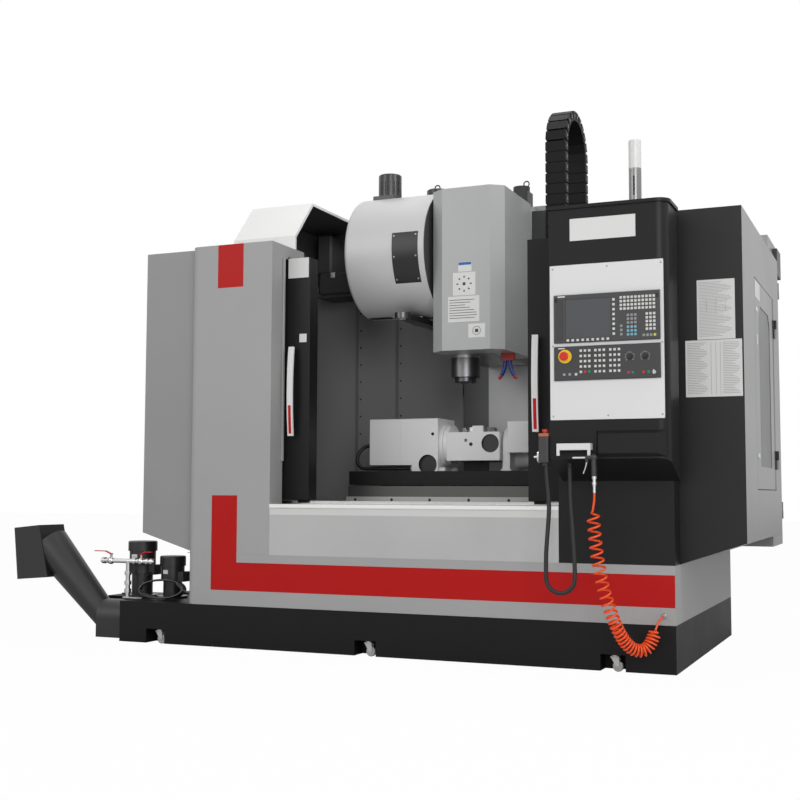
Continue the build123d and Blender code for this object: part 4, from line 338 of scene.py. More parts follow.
# The thin strip right under the table is a steel way cover, painted darker than the saddle: partly its
# steel, partly painted shade where the table shades it.
saddle_paint = paint("saddle_bright", tone(188, 188, 186), rough=0.4, metal=0.3, drift=0.08,
                     bands=[((None, (-0.2355, -0.2305), (0.797, 0.858)), tone(98, 98, 97), 0.8)])
wear(saddle_paint, "saddle")
iron = paint("table_iron", tone(17, 17, 18), rough=0.45, metal=0.1, specular=0.25, drift=0.12)
wear(iron, "table")
print("castings and steel done")

# %% [markdown]
# The work area is lined with bare sheet that coolant and chips have dulled, so it is darker than
# the paint outside. The two plates over the column's guideways slide over each other and are brighter.
# Their left part, on lining and plates alike, is painted a darker grey as painted shade.

# %% Work area
# The band left of X -0.072 is painted darker on lining and cover: painted shade.
cover_x, painted_shade_x, cover_y = (-0.2385, 0.2385), (-0.2385, -0.072), (0.600, 0.6175)
lining_paint = paint("lining_sheet", tone(150, 150, 151), rough=0.42, metal=0.1, drift=0.1,
                     stretch=(1, 1, 0.3), bands=[((cover_x, cover_y, None), grey(176)),
                                                 ((painted_shade_x, cover_y, None), tone(92, 92, 93))])
wear(lining_paint, "work_area_lining", "conveyor_screw")
cover_steel = paint("cover_steel", tone(176, 176, 177), rough=0.34, metal=0.6, peel=0.15,
                    stretch=(1, 1, 0.15), bands=[((painted_shade_x, None, None), tone(92, 92, 93))])
wear(cover_steel, "z_way_cover")
pale_casting = paint("rotary_light_grey", tone(224, 225, 224), rough=0.42, peel=0.15, drift=0.04, bands=[
    (((-0.2315, -0.1225), (-0.129, -0.105), (0.9215, 1.0305)), tone(20, 20, 21)),
    (((-0.157, -0.137), (-0.129, -0.110), (1.134, 1.154)), tone(20, 20, 21)),
    (((0.132, 0.234), (-0.1142, -0.09), (1.035, 1.145)), tone(32, 32, 33)),
    (((0.061, 0.083), (-0.1142, -0.09), (1.070, 1.100)), tone(24, 24, 25)),
    (((0.0, 0.060), (-0.1142, -0.09), (1.090, 1.125)), grey(120)),
])
wear(pale_casting, "rotary_housing", "rotary_cradle", "rotary_tailstock")
print("work area done")

# %% [markdown]
# The operator's two units are moulded in dark plastic. Keys, screen and stop ring belong to the same
# solids, so each gets its colour by its place: pale keys stand 1.6 mm proud of the face, and the
# screen lies 3 mm behind it.

# %% Operator units
proud = (-1.07, -1.0452)
KEY = tone(206, 206, 202)
DIM_KEY = tone(140, 142, 142)
display_paint = paint("display_dark_grey", tone(58, 58, 60), rough=0.45, bands=[
    ((None, proud, None), KEY),
    (((0.820, 0.853), proud, (1.51, 1.70)), tone(48, 48, 50)),
    (((1.105, 1.195), proud, (1.512, 1.622)), DIM_KEY),
    (((1.143, 1.195), proud, (1.517, 1.570)), tone(112, 168, 186)),
    (((1.213, 1.262), proud, (1.512, 1.528)), DIM_KEY),
    (((1.262, 1.280), proud, (1.512, 1.528)), tone(206, 200, 60)),
    (((0.8625, 1.0735), (-1.0425, -1.0405), (1.5195, 1.6995)), tone(66, 68, 71)),
])
wear(display_paint, "display_unit")
STOP_RED, START_GREEN = tone(190, 30, 50), tone(0, 130, 84)
panel_paint = paint("panel_dark_grey", tone(50, 50, 52), rough=0.45, bands=[
    ((None, proud, None), KEY),
    (((0.830, 0.894), proud, (1.406, 1.470)), tone(236, 196, 30)),
    (((0.848, 0.895), proud, (1.346, 1.368)), tone(150, 150, 152), 0.7),
    (((0.9465, 0.9635), proud, (1.358, 1.374)), STOP_RED),
    (((0.966, 0.983), proud, (1.358, 1.374)), START_GREEN),
    (((1.143, 1.161), proud, (1.346, 1.368)), STOP_RED),
    (((1.161, 1.181), proud, (1.346, 1.368)), START_GREEN),
    (((1.210, 1.229), proud, (1.346, 1.368)), STOP_RED),
    (((1.231, 1.251), proud, (1.346, 1.368)), START_GREEN),
    (((1.256, 1.276), proud, (1.342, 1.366)), grey(190), 0.9),
])
wear(panel_paint, "machine_panel")
print("operator units done")

# %% [markdown]
# Small plastics, rubber and the signal lamp. Their grain is finer than orange peel, and where a hand
# has polished them they shine more.

# %% Plastics and rubber
black_plastic = paint("black_plastic", tone(28, 28, 29), rough=0.5, peel=0.2, peel_scale=600)
wear(black_plastic, "feed_override_knob", "spindle_override_knob", "energy_chain")
gun_plastic = paint("gun_black_and_chrome", tone(40, 40, 42), rough=0.4, bands=[
    (((0.90, 0.9632), None, None), grey(205), 0.95),
    ((None, None, (0.81, 0.8958)), grey(205), 0.95),
])
wear(gun_plastic, "air_gun")
pendant_plastic = paint("pendant_dark_grey", tone(50, 50, 52), rough=0.45, bands=[
    ((None, None, (1.0785, 1.0985)), tone(176, 96, 60)),
    ((None, None, (1.0985, 1.13)), tone(214, 40, 30)),
])
wear(pendant_plastic, "pendant")
red_plastic = paint("red_plastic", tone(206, 34, 26), rough=0.28)
wear(red_plastic, "e_stop", "valve_lever_1", "valve_lever_2")
nozzle_plastic = paint("nozzle_blue_and_red", tone(28, 52, 132), rough=0.3, bands=[
    ((None, None, (1.5405, 1.60)), tone(150, 34, 28)),
    ((None, None, (1.40, 1.4585)), tone(176, 34, 30)),
])
wear(nozzle_plastic, "coolant_nozzles")
lamp_plastic = paint("lamp_white", tone(220, 220, 218), rough=0.25, bands=[
    ((None, None, (2.13, 2.3215)), grey(128), 0.5),
    (((1.1435, 1.1525), (-0.8745, -0.86), (2.19, 2.29)), grey(24), 0.0),
])
wear(lamp_plastic, "signal_lamp")
rubber = paint("black_rubber", grey(26), rough=0.6, peel=0.3, peel_scale=500)
wear(rubber, "pendant_cable", "rotary_hose")
orange = paint("hose_orange", tone(240, 82, 20), rough=0.25)
wear(orange, "air_hose")
print("plastics done")

# %% [markdown]
# A cord is a line first. The route points that shaped its solid are control points of a smooth
# spline here. Its length is measured on that spline, and for a coil a frame is carried along it
# that turns as little as possible, so that the winding doesn't twist on its own.

# %% Spline helpers
def smooth_line(points):
    """Points read close together along the smooth spline of a route."""
    curve = bpy.data.curves.new("route", "CURVE")
    curve.dimensions = "3D"
    spline = curve.splines.new("NURBS")
    spline.points.add(len(points) - 1)
    for point, place in zip(spline.points, points):
        point.co = (*place, 1.0)
    spline.order_u = 3
    spline.use_endpoint_u = True
    spline.resolution_u = 16
    carrier = bpy.data.objects.new("route", curve)
    mesh = bpy.data.meshes.new_from_object(carrier)
    line = [v.co.copy() for v in mesh.vertices]
    bpy.data.objects.remove(carrier)
    bpy.data.curves.remove(curve)
    bpy.data.meshes.remove(mesh)
    return line


def line_length(line):
    return sum((b - a).length for a, b in zip(line, line[1:]))


def even(line, step):
    """The same line with points a fixed step apart."""
    total = line_length(line)
    count = max(2, round(total / step))
    result, walked, i = [], 0.0, 0
    for k in range(count + 1):
        want = total * k / count
        while i < len(line) - 2 and walked + (line[i + 1] - line[i]).length < want:
            walked += (line[i + 1] - line[i]).length
            i += 1
        piece = line[i + 1] - line[i]
        share = 0 if piece.length == 0 else min(1.0, (want - walked) / piece.length)
        result.append(line[i] + piece * share)
    return result


def frames(line):
    """A direction and two cross directions at each point, turned as little as possible."""
    result = []
    side = None
    for i, point in enumerate(line):
        ahead = (line[min(i + 1, len(line) - 1)] - line[max(i - 1, 0)]).normalized()
        if side is None:
            side = ahead.orthogonal().normalized()
        side = (side - ahead * side.dot(ahead)).normalized()
        result.append((point, ahead, side, ahead.cross(side)))
    return result


print("spline helpers ready")

# %% [markdown]
# A cord can be a curve with a round bevel, which is the shortest way, or a mesh of rings along the
# line, which the corrugated conduits need because their radius goes up and down. The first helper
# hands back the cord's length, the second the line on which its length is measured.

# %% Cords and conduits
def meshed(name, b):
    """The finished mesh of a shape in progress."""
    mesh = bpy.data.meshes.new(name)
    b.to_mesh(mesh)
    b.free()
    return mesh


def new_object(name, mesh, material, body):
    """A finished mesh as a piece that rides on a body."""
    piece = bpy.data.objects.new(name, mesh)
    bpy.context.scene.collection.objects.link(piece)
    if material is not None:
        mesh.materials.clear()
        mesh.materials.append(material)
    if body:
        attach(piece, body)
    return piece


def round_cord(name, points, radius, material, body):
    """A smooth round cord through a list of points; returns the piece and its length."""
    curve = bpy.data.curves.new(name, "CURVE")
    curve.dimensions = "3D"
    curve.bevel_depth = radius
    curve.bevel_resolution = 2
    curve.resolution_u = 2
    spline = curve.splines.new("NURBS")
    spline.points.add(len(points) - 1)
    for point, place in zip(spline.points, points):
        point.co = (*place, 1.0)
    spline.order_u = 3
    spline.use_endpoint_u = True
    curve.use_fill_caps = True
    cord = new_object(name, curve, material, body)
    return cord, line_length(smooth_line([tuple(p) for p in points]))


def ribbed_tube(name, points, radius, rib, pitch, material, body):
    """A corrugated conduit: rings along the line whose radius goes up and down."""
    around = 16
    line = even(smooth_line(points), pitch / 2)
    b = bmesh.new()
    rings = []
    for i, (point, ahead, side, over) in enumerate(frames(line)):
        r = radius if i % 2 == 0 else radius - rib
        rings.append([b.verts.new(point + side * (r * math.cos(a)) + over * (r * math.sin(a)))
                      for a in (2 * math.pi * k / around for k in range(around))])
    for first, second in zip(rings, rings[1:]):
        for k in range(around):
            b.faces.new((first[k], first[(k + 1) % around], second[(k + 1) % around], second[k]))
    b.faces.new(list(reversed(rings[0])))
    b.faces.new(rings[-1])
    b.normal_update()
    mesh = meshed(name, b)
    for polygon in mesh.polygons:
        polygon.use_smooth = True
    return new_object(name, mesh, material, body), line


print("cord helpers ready")

# %% [markdown]
# The pendant's cable is a corrugated conduit that hangs in a narrow loop, and the rotary table
# has a thicker hose that turns back under its motor. Both are stiff enough to keep round bends.

# %% Two conduits
pendant_x, cable_y = 0.757, -1.010
loop_radius, loop_x, loop_z = 0.066, 0.823, 0.437
loop_corner = loop_radius / math.cos(math.radians(18))
cable_points = [
    (pendant_x + 0.005, cable_y, 0.9457),
    (pendant_x + 0.005, cable_y, 0.900),
    (pendant_x + 0.013, cable_y - 0.001, 0.830),
    (pendant_x + 0.017, cable_y - 0.002, 0.760),
    (pendant_x + 0.013, cable_y - 0.003, 0.690),
    (pendant_x + 0.006, cable_y - 0.003, 0.610),
    (pendant_x + 0.001, cable_y - 0.003, 0.540),
    (pendant_x, cable_y - 0.002, 0.475),
]
for step in range(5):
    angle = math.radians(198 + 36 * step)
    cable_points.append((loop_x + loop_corner * math.cos(angle), cable_y - 0.002 + 0.002 * step,
                         loop_z + loop_corner * math.sin(angle)))
cable_points += [
    (pendant_x + 0.131, cable_y + 0.009, 0.480),
    (pendant_x + 0.128, cable_y + 0.013, 0.560),
    (pendant_x + 0.121, cable_y + 0.018, 0.660),
    (pendant_x + 0.111, cable_y + 0.025, 0.765),
    (pendant_x + 0.107, cable_y + 0.030, 0.850),
    (0.862, -0.977, 0.9417),
]
rib_depth = 0.0012
pendant_line, cable_path = ribbed_tube("pendant_conduit", cable_points, 0.0105, rib_depth, 0.0052, rubber,
                                       "frame")
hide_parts("pendant_cable")

hose_high, hose_low = 1.088, 0.955
turn_radius = (hose_high - hose_low) / 2
turn_x = -0.570
hose_points = [(-0.5433, -0.030, hose_high)]
for step, hose_y in enumerate((-0.030, -0.040, -0.060, -0.080, -0.092)):
    angle = math.radians(108 + 36 * step)
    reach = turn_radius / math.cos(math.radians(18))
    hose_points.append((turn_x + reach * math.cos(angle), hose_y,
                        hose_low + turn_radius + reach * math.sin(angle)))
hose_points += [
    (-0.539, -0.0955, hose_low + 0.0008),
    (-0.459, -0.096, hose_low - 0.0006),
    (-0.379, -0.096, hose_low),
    (-0.2863, -0.096, hose_low),
]
rotary_line, hose_path = ribbed_tube("rotary_conduit", hose_points, 0.011, rib_depth, 0.006, rubber,
                                     "table")
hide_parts("rotary_hose")
print("conduits:", round(line_length(cable_path), 3), "m and", round(line_length(hose_path), 3), "m")

# %% [markdown]
# The air hose is a springy coil. Near the gun its own weight pulls the turns apart, and towards the
# bottom of its sag they close up again, so the pitch changes along the middle line.

# %% Coiled air hose
gun_x, gun_y = 1.001, -1.062
top_tail = [
    (gun_x + 0.001, gun_y - 0.022, 0.8217),
    (gun_x + 0.001, gun_y - 0.022, 0.796),
    (gun_x - 0.003, gun_y - 0.021, 0.770),
]
coil_middle = [
    (gun_x - 0.008, gun_y - 0.020, 0.742),
    (gun_x - 0.001, gun_y - 0.017, 0.640),
    (gun_x + 0.008, gun_y - 0.010, 0.540),
    (gun_x + 0.022, gun_y + 0.002, 0.440),
    (gun_x + 0.042, gun_y + 0.022, 0.345),
    (gun_x + 0.066, gun_y + 0.052, 0.255),
    (gun_x + 0.092, gun_y + 0.084, 0.180),
    (gun_x + 0.128, gun_y + 0.120, 0.128),
    (gun_x + 0.176, gun_y + 0.152, 0.118),
    (gun_x + 0.208, gun_y + 0.172, 0.158),
    (gun_x + 0.222, gun_y + 0.186, 0.212),
]
union_x, union_z = 1.246, 0.266
low_tail = [
    (gun_x + 0.232, gun_y + 0.195, 0.246),
    (union_x, -0.846, union_z),
    (union_x, -0.8143, union_z),
]
middle = even(smooth_line(coil_middle), 0.004)
middle_frames = frames(middle)
middle_length = line_length(middle)
coil_reach = 0.0265
per_turn = 14
open_pitch, sag_pitch, tight_pitch, sag_starts = 0.040, 0.0364, 0.0165, 0.45
winding = []
angle, along = 0.0, 0.0
while along < middle_length:
    share = along / middle_length
    i = min(len(middle_frames) - 1, int(share * (len(middle_frames) - 1)))
    point, ahead, side, over = middle_frames[i]
    following = middle_frames[min(i + 1, len(middle_frames) - 1)][0]
    part = share * (len(middle_frames) - 1) - i
    point = point.lerp(following, part)
    swell = min(1.0, along / 0.024, (middle_length - along) / 0.020)
    reach = coil_reach * swell * swell * (3 - 2 * swell)
    winding.append(point + side * (reach * math.cos(angle)) + over * (reach * math.sin(angle)))
    if share < sag_starts:
        pitch = open_pitch - 0.008 * share
    else:
        pitch = max(tight_pitch, sag_pitch - 0.075 * (share - sag_starts))
    angle += 2 * math.pi / per_turn
    along += pitch / per_turn
hose_line = [Vector(p) for p in top_tail] + winding + [Vector(p) for p in low_tail]
air_line, hose_length = round_cord("coiled_air_line", hose_line, 0.005, orange, "frame")
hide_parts("air_hose")
print("air hose:", len(winding) // per_turn, "turns,", round(hose_length, 2), "m")

# %% [markdown]
# The spare length of the first pump's lead is left as loops on the tank deck, leaning on the second
# pump. An ellipse walked round a few times gives them, a little nearer the front with each turn.

# %% Looped pump lead
loops_middle = (-1.545, -0.640, 0.284)
loops_wide, loops_high = 0.150, 0.055
lead_points = [(-1.699, -0.554, 0.362), (-1.699, -0.575, 0.360), (-1.700, -0.596, 0.340)]
loops_lean, loops_rise, step_forward = 0.45, 0.89, 0.0011
for step in range(41):
    angle = math.radians(180 + 24 * step)
    wide = loops_wide - 0.006 * math.sin(0.9 * step)
    lead_points.append((loops_middle[0] + wide * math.cos(angle),
                        loops_middle[1] + loops_lean * loops_high * math.sin(angle) - step_forward * step,
                        loops_middle[2] + loops_rise * loops_high * math.sin(angle)))
lead_points += [(-1.360, -0.690, 0.262), (-1.325, -0.690, 0.275), (-1.300, -0.690, 0.280)]
pump_lead, lead_length = round_cord("pump_lead", lead_points, 0.006, motor_black, "frame")
print("pump lead:", round(lead_length, 2), "m")

# %% [markdown]
# Many small things on the machine are flat pieces with a broken edge, or round heads: plates, ruled
# sheets, screws and rivets. They are far too fine for the CAD, but their edges catch the light. Two
# helpers add such a shape to a mesh in progress, so that a whole row becomes one object.

# %% Helpers for plates and heads
def slab(b, centre, size, matrix=None):
    """A box with slightly broken edges, added to a mesh in progress."""
    made = bmesh.ops.create_cube(b, size=1.0)
    corners = made["verts"]
    bmesh.ops.scale(b, vec=Vector(size), verts=corners)
    bmesh.ops.translate(b, vec=Vector(centre), verts=corners)
    edges = list({e for v in corners for e in v.link_edges})
    broken = bmesh.ops.bevel(b, geom=edges, offset=min(size) * 0.12, segments=1, affect="EDGES")
    moved = list({v for f in broken["faces"] for v in f.verts} | {v for v in corners if v.is_valid})
    if matrix is not None:
        bmesh.ops.transform(b, matrix=matrix, verts=moved)
    return moved


def head(b, centre, outward, radius, height):
    """A flat-topped screw head or rivet that stands on a face; outward is the face's direction."""
    turned = Vector(outward).to_track_quat("Z", "Y").to_matrix().to_4x4()
    matrix = Matrix.Translation(Vector(centre) + Vector(outward).normalized() * (height / 2)) @ turned
    bmesh.ops.create_cone(b, cap_ends=True, segments=12, radius1=radius, radius2=radius * 0.6, depth=height,
                          matrix=matrix)


def small_parts(name, material, body, flats=(), heads=()):
    """One object of many flat pieces (centre, size, matrix) and heads (centre, outward, radius, height)."""
    b = bmesh.new()
    for centre, size, *matrix in flats:
        slab(b, centre, size, *matrix)
    for item in heads:
        head(b, *item)
    return new_object(name, meshed(name, b), material, body)


print("small part helpers ready")

# %% [markdown]
# The energy chain carries the cables of the vertical axis. It is a row of equal links, and when the
# head moves its loop rolls: the front run goes with the head, the back run stays, and the bow
# moves half as far. So the links are built once and sorted into three runs.

# %% Energy chain
chain_x = (0.402, 0.523)
chain_front, chain_back = 0.253, 0.700
chain_height = 0.056
chain_bow = (chain_back - chain_front) / 2
chain_middle_y = (chain_back + chain_front) / 2
chain_middle_z = 3.055 - chain_bow - chain_height / 2
chain_ends = (2.210, 1.700)


def chain_place(distance):
    """Centre and turn of the chain at a distance from its end on the head."""
    rise = chain_middle_z - chain_ends[0]
    if distance < rise:
        return chain_front, chain_ends[0] + distance, 0.0
    turned = (distance - rise) / chain_bow
    if turned < math.pi:
        return (chain_middle_y - chain_bow * math.cos(turned),
                chain_middle_z + chain_bow * math.sin(turned), -turned)
    return chain_back, chain_middle_z - (distance - rise - math.pi * chain_bow), math.pi


boss_lanes = [(chain_x[0] - 0.002, chain_x[0] - 0.0004), (chain_x[1] + 0.0004, chain_x[1] + 0.002)]
link_plastic = paint("link_plastic", tone(19, 19, 20), rough=0.5, peel=0.15, peel_scale=600, specular=0.15,
                     bands=[((lane, None, None), grey(120)) for lane in boss_lanes])


def chain_run(name, first, last):
    """A run of links between two distances, as one mesh."""
    b = bmesh.new()
    total = (chain_middle_z - chain_ends[0]) + math.pi * chain_bow + (chain_middle_z - chain_ends[1])
    count = int(total / 0.060)
    pitch = total / count
    width = chain_x[1] - chain_x[0]
    made = 0
    for k in range(count):
        along = (k + 0.5) * pitch
        if not first <= along < last:
            continue
        y, z, turned = chain_place(along)
        matrix = Matrix.Translation(((chain_x[0] + chain_x[1]) / 2, y, z)) @ Matrix.Rotation(turned, 4, "X")
        for side in (-1, 1):
            slab(b, (side * (width / 2 - 0.005), 0, 0.004), (0.009, chain_height, 0.050), matrix)
            slab(b, (side * (width / 2 - 0.012), 0, -0.020), (0.007, chain_height - 0.010, 0.034), matrix)
            slab(b, (side * (width / 2 + 0.0005), 0, 0.004), (0.002, 0.018, 0.018), matrix)
        for face in (-1, 1):
            slab(b, (0, face * (chain_height / 2 - 0.003), 0), (width - 0.010, 0.005, pitch * 0.965),
                 matrix)
        slab(b, (0, 0.002, 0), (width - 0.030, 0.030, pitch + 0.001), matrix)
        made += 1
    return new_object(name, meshed(name, b), link_plastic, None), made


rise = chain_middle_z - chain_ends[0]
bow = math.pi * chain_bow
front_run, front_count = chain_run("chain_front_run", 0.0, rise)
bow_run, bow_count = chain_run("chain_bow", rise, rise + bow)
back_run, back_count = chain_run("chain_back_run", rise + bow, 99.0)
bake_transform(front_run)
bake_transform(bow_run)
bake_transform(back_run)
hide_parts("energy_chain")
print("chain links:", front_count, bow_count, back_count)

# %% [markdown]
# Screws hold the control plate: three along the top, three along the bottom and one in the middle of
# each side. Two black clamp screws hold the display unit by its upper corners.

# %% Screws of the control plate
plate_face, unit_face = -1.033, -1.045
screw_steel = paint("screw_steel", tone(170, 170, 168), rough=0.3, metal=0.9)
plate_screws = [(x, z) for z in (1.843, 1.168) for x in (0.803, 1.055, 1.297)]
plate_screws += [(0.802, 1.488), (1.300, 1.488)]
clamp_screws = [(x, z) for x in (0.822, 1.281) for z in (1.700, 1.694)]
small_parts("control_plate_screws", screw_steel, "frame",
            heads=[((x, plate_face, z), (0, -1, 0), 0.0045, 0.0022) for x, z in plate_screws])
small_parts("unit_clamp_screws", black_plastic, "frame",
            heads=[((x, unit_face, z), (0, -1, 0), 0.008, 0.004) for x, z in clamp_screws])
print("plate screws:", len(plate_screws))

# %% [markdown]
# Each override knob turns in front of a printed dial, so a ring of pale ticks is laid round it. The
# ticks are thin slabs, turned in steps about the knob's axis.

# %% Dial ticks and bare name bars
print_pale = paint("print_pale", tone(214, 214, 212), rough=0.5, soft_edge=None)
ticks = []
for knob_x in (1.158, 1.226):
    for step in range(13):
        swing = math.radians(-135 + 270 * step / 12)
        long_tick = 0.006 if step % 3 == 0 else 0.004
        place = Matrix.Translation((knob_x, unit_face - 0.0003, 1.427)) @ Matrix.Rotation(swing, 4, "Y")
        ticks.append(((0, 0, 0.0175 + long_tick / 2), (0.0014, 0.0006, long_tick), place))
bars = [((0.846, unit_face - 0.0003, 1.712), (0.034, 0.0006, 0.006)),
        ((0.846, unit_face - 0.0003, 1.475), (0.030, 0.0006, 0.005))]
small_parts("panel_print", print_pale, "frame", flats=ticks + bars)
print("dial ticks:", len(ticks))

# %% [markdown]
# Plates and sheets on the machine: a bare plate on the control box, two paper sheets on the right
# wing with ruled lines in place of their text, and bare plates on the left door's edge and on the
# side door.

# %% Plates and ruled sheets
def plate(x, face_y, z, width, height, thick=0.0012):
    """A thin flat piece that faces the front and stands on the plane face_y."""
    return (x, face_y - thick / 2, z), (width, thick, height)


sheet_white = paint("sheet_white", tone(216, 216, 215), rough=0.5, drift=0.02, peel=0.03)
line_grey = paint("line_grey", grey(140), rough=0.6, soft_edge=None)
wing_face = -0.680
small_parts("front_plates", sheet_white, "frame", flats=[
    plate(1.035, -1.030, 2.020, 0.302, 0.102, thick=0.0018),
    plate(1.480, wing_face, 1.6715, 0.172, 0.279),
    plate(1.4665, wing_face, 1.398, 0.257, 0.264),
])


line_thick, margin = 0.0004, 0.008


def ruled(x_low, x_high, z_low, z_high, y, pitch, seed):
    """Lines of uneven length across a sheet, as text looks from afar."""
    lines = []
    count = int((z_high - z_low) / pitch) - 1
    for row in range(count):
        z = z_high - pitch * (row + 1)
        share = 0.55 + 0.42 * abs(math.sin(seed + 2.7 * row))
        width = (x_high - x_low - 2 * margin) * share
        lines.append(((x_low + margin + width / 2, y, z), (width, line_thick, pitch * 0.22)))
    return lines


ink_y = wing_face - 0.0013
sheet_lines = ruled(1.394, 1.566, 1.535, 1.806, ink_y, 0.0068, 0.3)
sheet_lines += ruled(1.338, 1.450, 1.272, 1.524, ink_y, 0.0078, 1.1)
sheet_lines += ruled(1.500, 1.595, 1.272, 1.524, ink_y, 0.0078, 2.2)
sheet_lines += [((x, ink_y, 1.398), (0.0014, line_thick, 0.240)) for x in (1.455, 1.477, 1.497)]
sheet_lines += [((x, ink_y, 1.690), (0.0012, line_thick, 0.060)) for x in (1.437, 1.480, 1.523)]
small_parts("sheet_lines", line_grey, "frame", flats=sheet_lines)
leaf_face = -0.650
small_parts("left_door_plates", sheet_white, "left_door", flats=[
    plate(-0.7165, leaf_face, 2.023, 0.123, 0.108),
    plate(-0.6865, leaf_face, 1.6425, 0.043, 0.045),
])
small_parts("side_door_plates", sheet_white, "side_door", flats=[
    ((1.6026, -0.1415, 1.832), (0.0012, 0.190, 0.084)),
    ((1.6032, -0.182, 1.584), (0.0024, 0.030, 0.052)),
])
print("ruled lines:", len(sheet_lines))

# %% [markdown]
# The head cover carries four small plates: a blue-topped one, a square one with a round mark, one
# with ruled lines and one with a gauge ring. They ride on the head.

# %% Plates on the head
head_face = -0.297
ink_face, ink_thick = head_face - 0.00115, 0.0005
print_blue = paint("print_blue", tone(40, 96, 160), rough=0.45, soft_edge=None)
print_dark = paint("print_dark", tone(44, 44, 46), rough=0.5, soft_edge=None)
small_parts("head_plates", sheet_white, "head", flats=[
    plate(0.1045, head_face, 2.0335, 0.077, 0.053),
    plate(0.1005, head_face, 1.9405, 0.129, 0.125),
    plate(0.0975, head_face, 1.804, 0.179, 0.140),
    plate(0.1715, head_face, 1.6845, 0.095, 0.075),
])
small_parts("head_plate_band", print_blue, "head",
            flats=[plate(0.1045, ink_face, 2.0505, 0.073, 0.015, ink_thick)])


def ring_of(x, z, radius, count, width, height):
    """Short dashes in a ring on the head's front face."""
    centre = Matrix.Translation((x, ink_face - ink_thick / 2, z))
    dash = (width, ink_thick, height)
    return [((0, 0, radius), dash, centre @ Matrix.Rotation(math.tau * k / count, 4, "Y"))
            for k in range(count)]


marks = [plate(0.1005, ink_face, 1.9405, 0.016, 0.016, ink_thick)]
marks += ring_of(0.1005, 1.9405, 0.038, 8, 0.007, 0.011)
marks += ring_of(0.1715, 1.6845, 0.022, 20, 0.0068, 0.0024)
marks.append(plate(0.1715, ink_face, 1.6845, 0.018, 0.018, ink_thick))
marks += ruled(0.008, 0.187, 1.742, 1.868, head_face - 0.0014, 0.014, 0.9)
small_parts("head_plate_marks", print_dark, "head", flats=marks)
print("marks on the head:", len(marks))

# %% [markdown]
# Rivets close the head cover's right side, and screws hold its bottom lid. The black plate on the
# drum has six screws, so they stand square to the drum's round face.

# %% Rivets and screws on the head and drum
side_face = 0.314
cover_heads = [((side_face, -0.221, 2.43 - 0.127 * step), (1, 0, 0), 0.0045, 0.002) for step in range(7)]
cover_heads += [((side_face, y, 1.631), (1, 0, 0), 0.0055, 0.003) for y in (-0.199, -0.115, -0.027, 0.056)]
small_parts("head_cover_rivets", screw_steel, "head", heads=cover_heads)
drum_axis, drum_face = 2.165, 0.349
drum_heads = []
for z in (2.223, 2.106, 1.987):
    depth = -math.sqrt(drum_face ** 2 - (z - drum_axis) ** 2)
    drum_heads += [((x, depth, z), (0, depth, z - drum_axis), 0.006, 0.003) for x in (-0.292, -0.164)]
small_parts("drum_plate_screws", screw_steel, "frame", heads=drum_heads)
print("rivets and screws:", len(cover_heads) + len(drum_heads))

# %% [markdown]
# The rear lining is made of sheets that lap over each other. Each lap is a thin raised strip with a
# row of black rivets beside it. The saddle's front cover has larger black screws along its top.

# %% Seams of the lining
rear_face = 0.620
lap_steel = paint("lap_steel", tone(128, 128, 129), rough=0.4, metal=0.3)
laps = [(x, 0.80, 2.12) for x in (-0.963, -0.685, 0.685, 0.963)]
lap_width, lap_thick = 0.022, 0.0024
small_parts("lining_laps", lap_steel, "frame",
            flats=[((x, rear_face - lap_thick / 2, (low + high) / 2), (lap_width, lap_thick, high - low))
                   for x, low, high in laps])
lap_heads = [((x + 0.024, rear_face, low + 0.06 + 0.11 * row), (0, -1, 0), 0.006, 0.004)
             for x, low, high in laps for row in range(12)]
small_parts("lining_rivets", black_plastic, "frame", heads=lap_heads)
saddle_heads = [((side * x, -0.262, 0.781), (0, -1, 0), 0.0085, 0.004)
                for side in (-1, 1) for x in (0.556, 0.336, 0.112)]
small_parts("saddle_screws", black_plastic, "saddle", heads=saddle_heads)
print("lining rivets:", len(lap_heads))

# %% [markdown]
# Behind the drum, under the white hood, a black sheet box and a cable duct are screwed to the rear
# wall. They are hardly lit, so plain folded boxes with broken edges are enough, with one pale plug.

# %% Box and duct under the hood
wall_box = (-0.93, 0.505, 2.125)
box_paint = paint("wall_box_dark_grey", tone(74, 74, 76), rough=0.4, specular=0.3)
small_parts("hood_wall_box", box_paint, "frame", flats=[
    (wall_box, (0.410, 0.225, 0.150)),
    ((wall_box[0], 0.505, 2.046), (0.424, 0.228, 0.012)),
    ((-1.106, 0.520, 2.320), (0.100, 0.200, 0.250)),
], heads=[((x, 0.3925, 2.075), (0, -1, 0), 0.006, 0.003) for x in (-1.115, -1.060, -0.76)])
small_parts("hood_wall_plug", white_paint, "frame",
            flats=[((-1.028, 0.388, 2.178), (0.026, 0.012, 0.034))],
            heads=[((-1.028, 0.382, 2.178), (0, -1, 0), 0.009, 0.010)])
print("box under the hood at", wall_box)

# %% [markdown]
# The large side panel of the left wing is screwed to a frame from outside, with a row of button heads
# a hand's width apart along each upright rail. The rows also show how large the panel is.

# %% Panel screws of the left wing
panel_heads = []
for row in range(9):
    z = 0.82 + 0.155 * row
    panel_heads += [((-1.636, y, z), (-1, 0, 0), 0.007, 0.004) for y in (-0.690, 0.049, 0.788)]
small_parts("wing_panel_screws", screw_steel, "frame", heads=panel_heads)
print("panel screws:", len(panel_heads))

# %% [markdown]
# Three small fittings finish the outside: the union where the air hose enters the base, the lifting
# eye on the vertical axis motor, and the rating plates on the pumps.

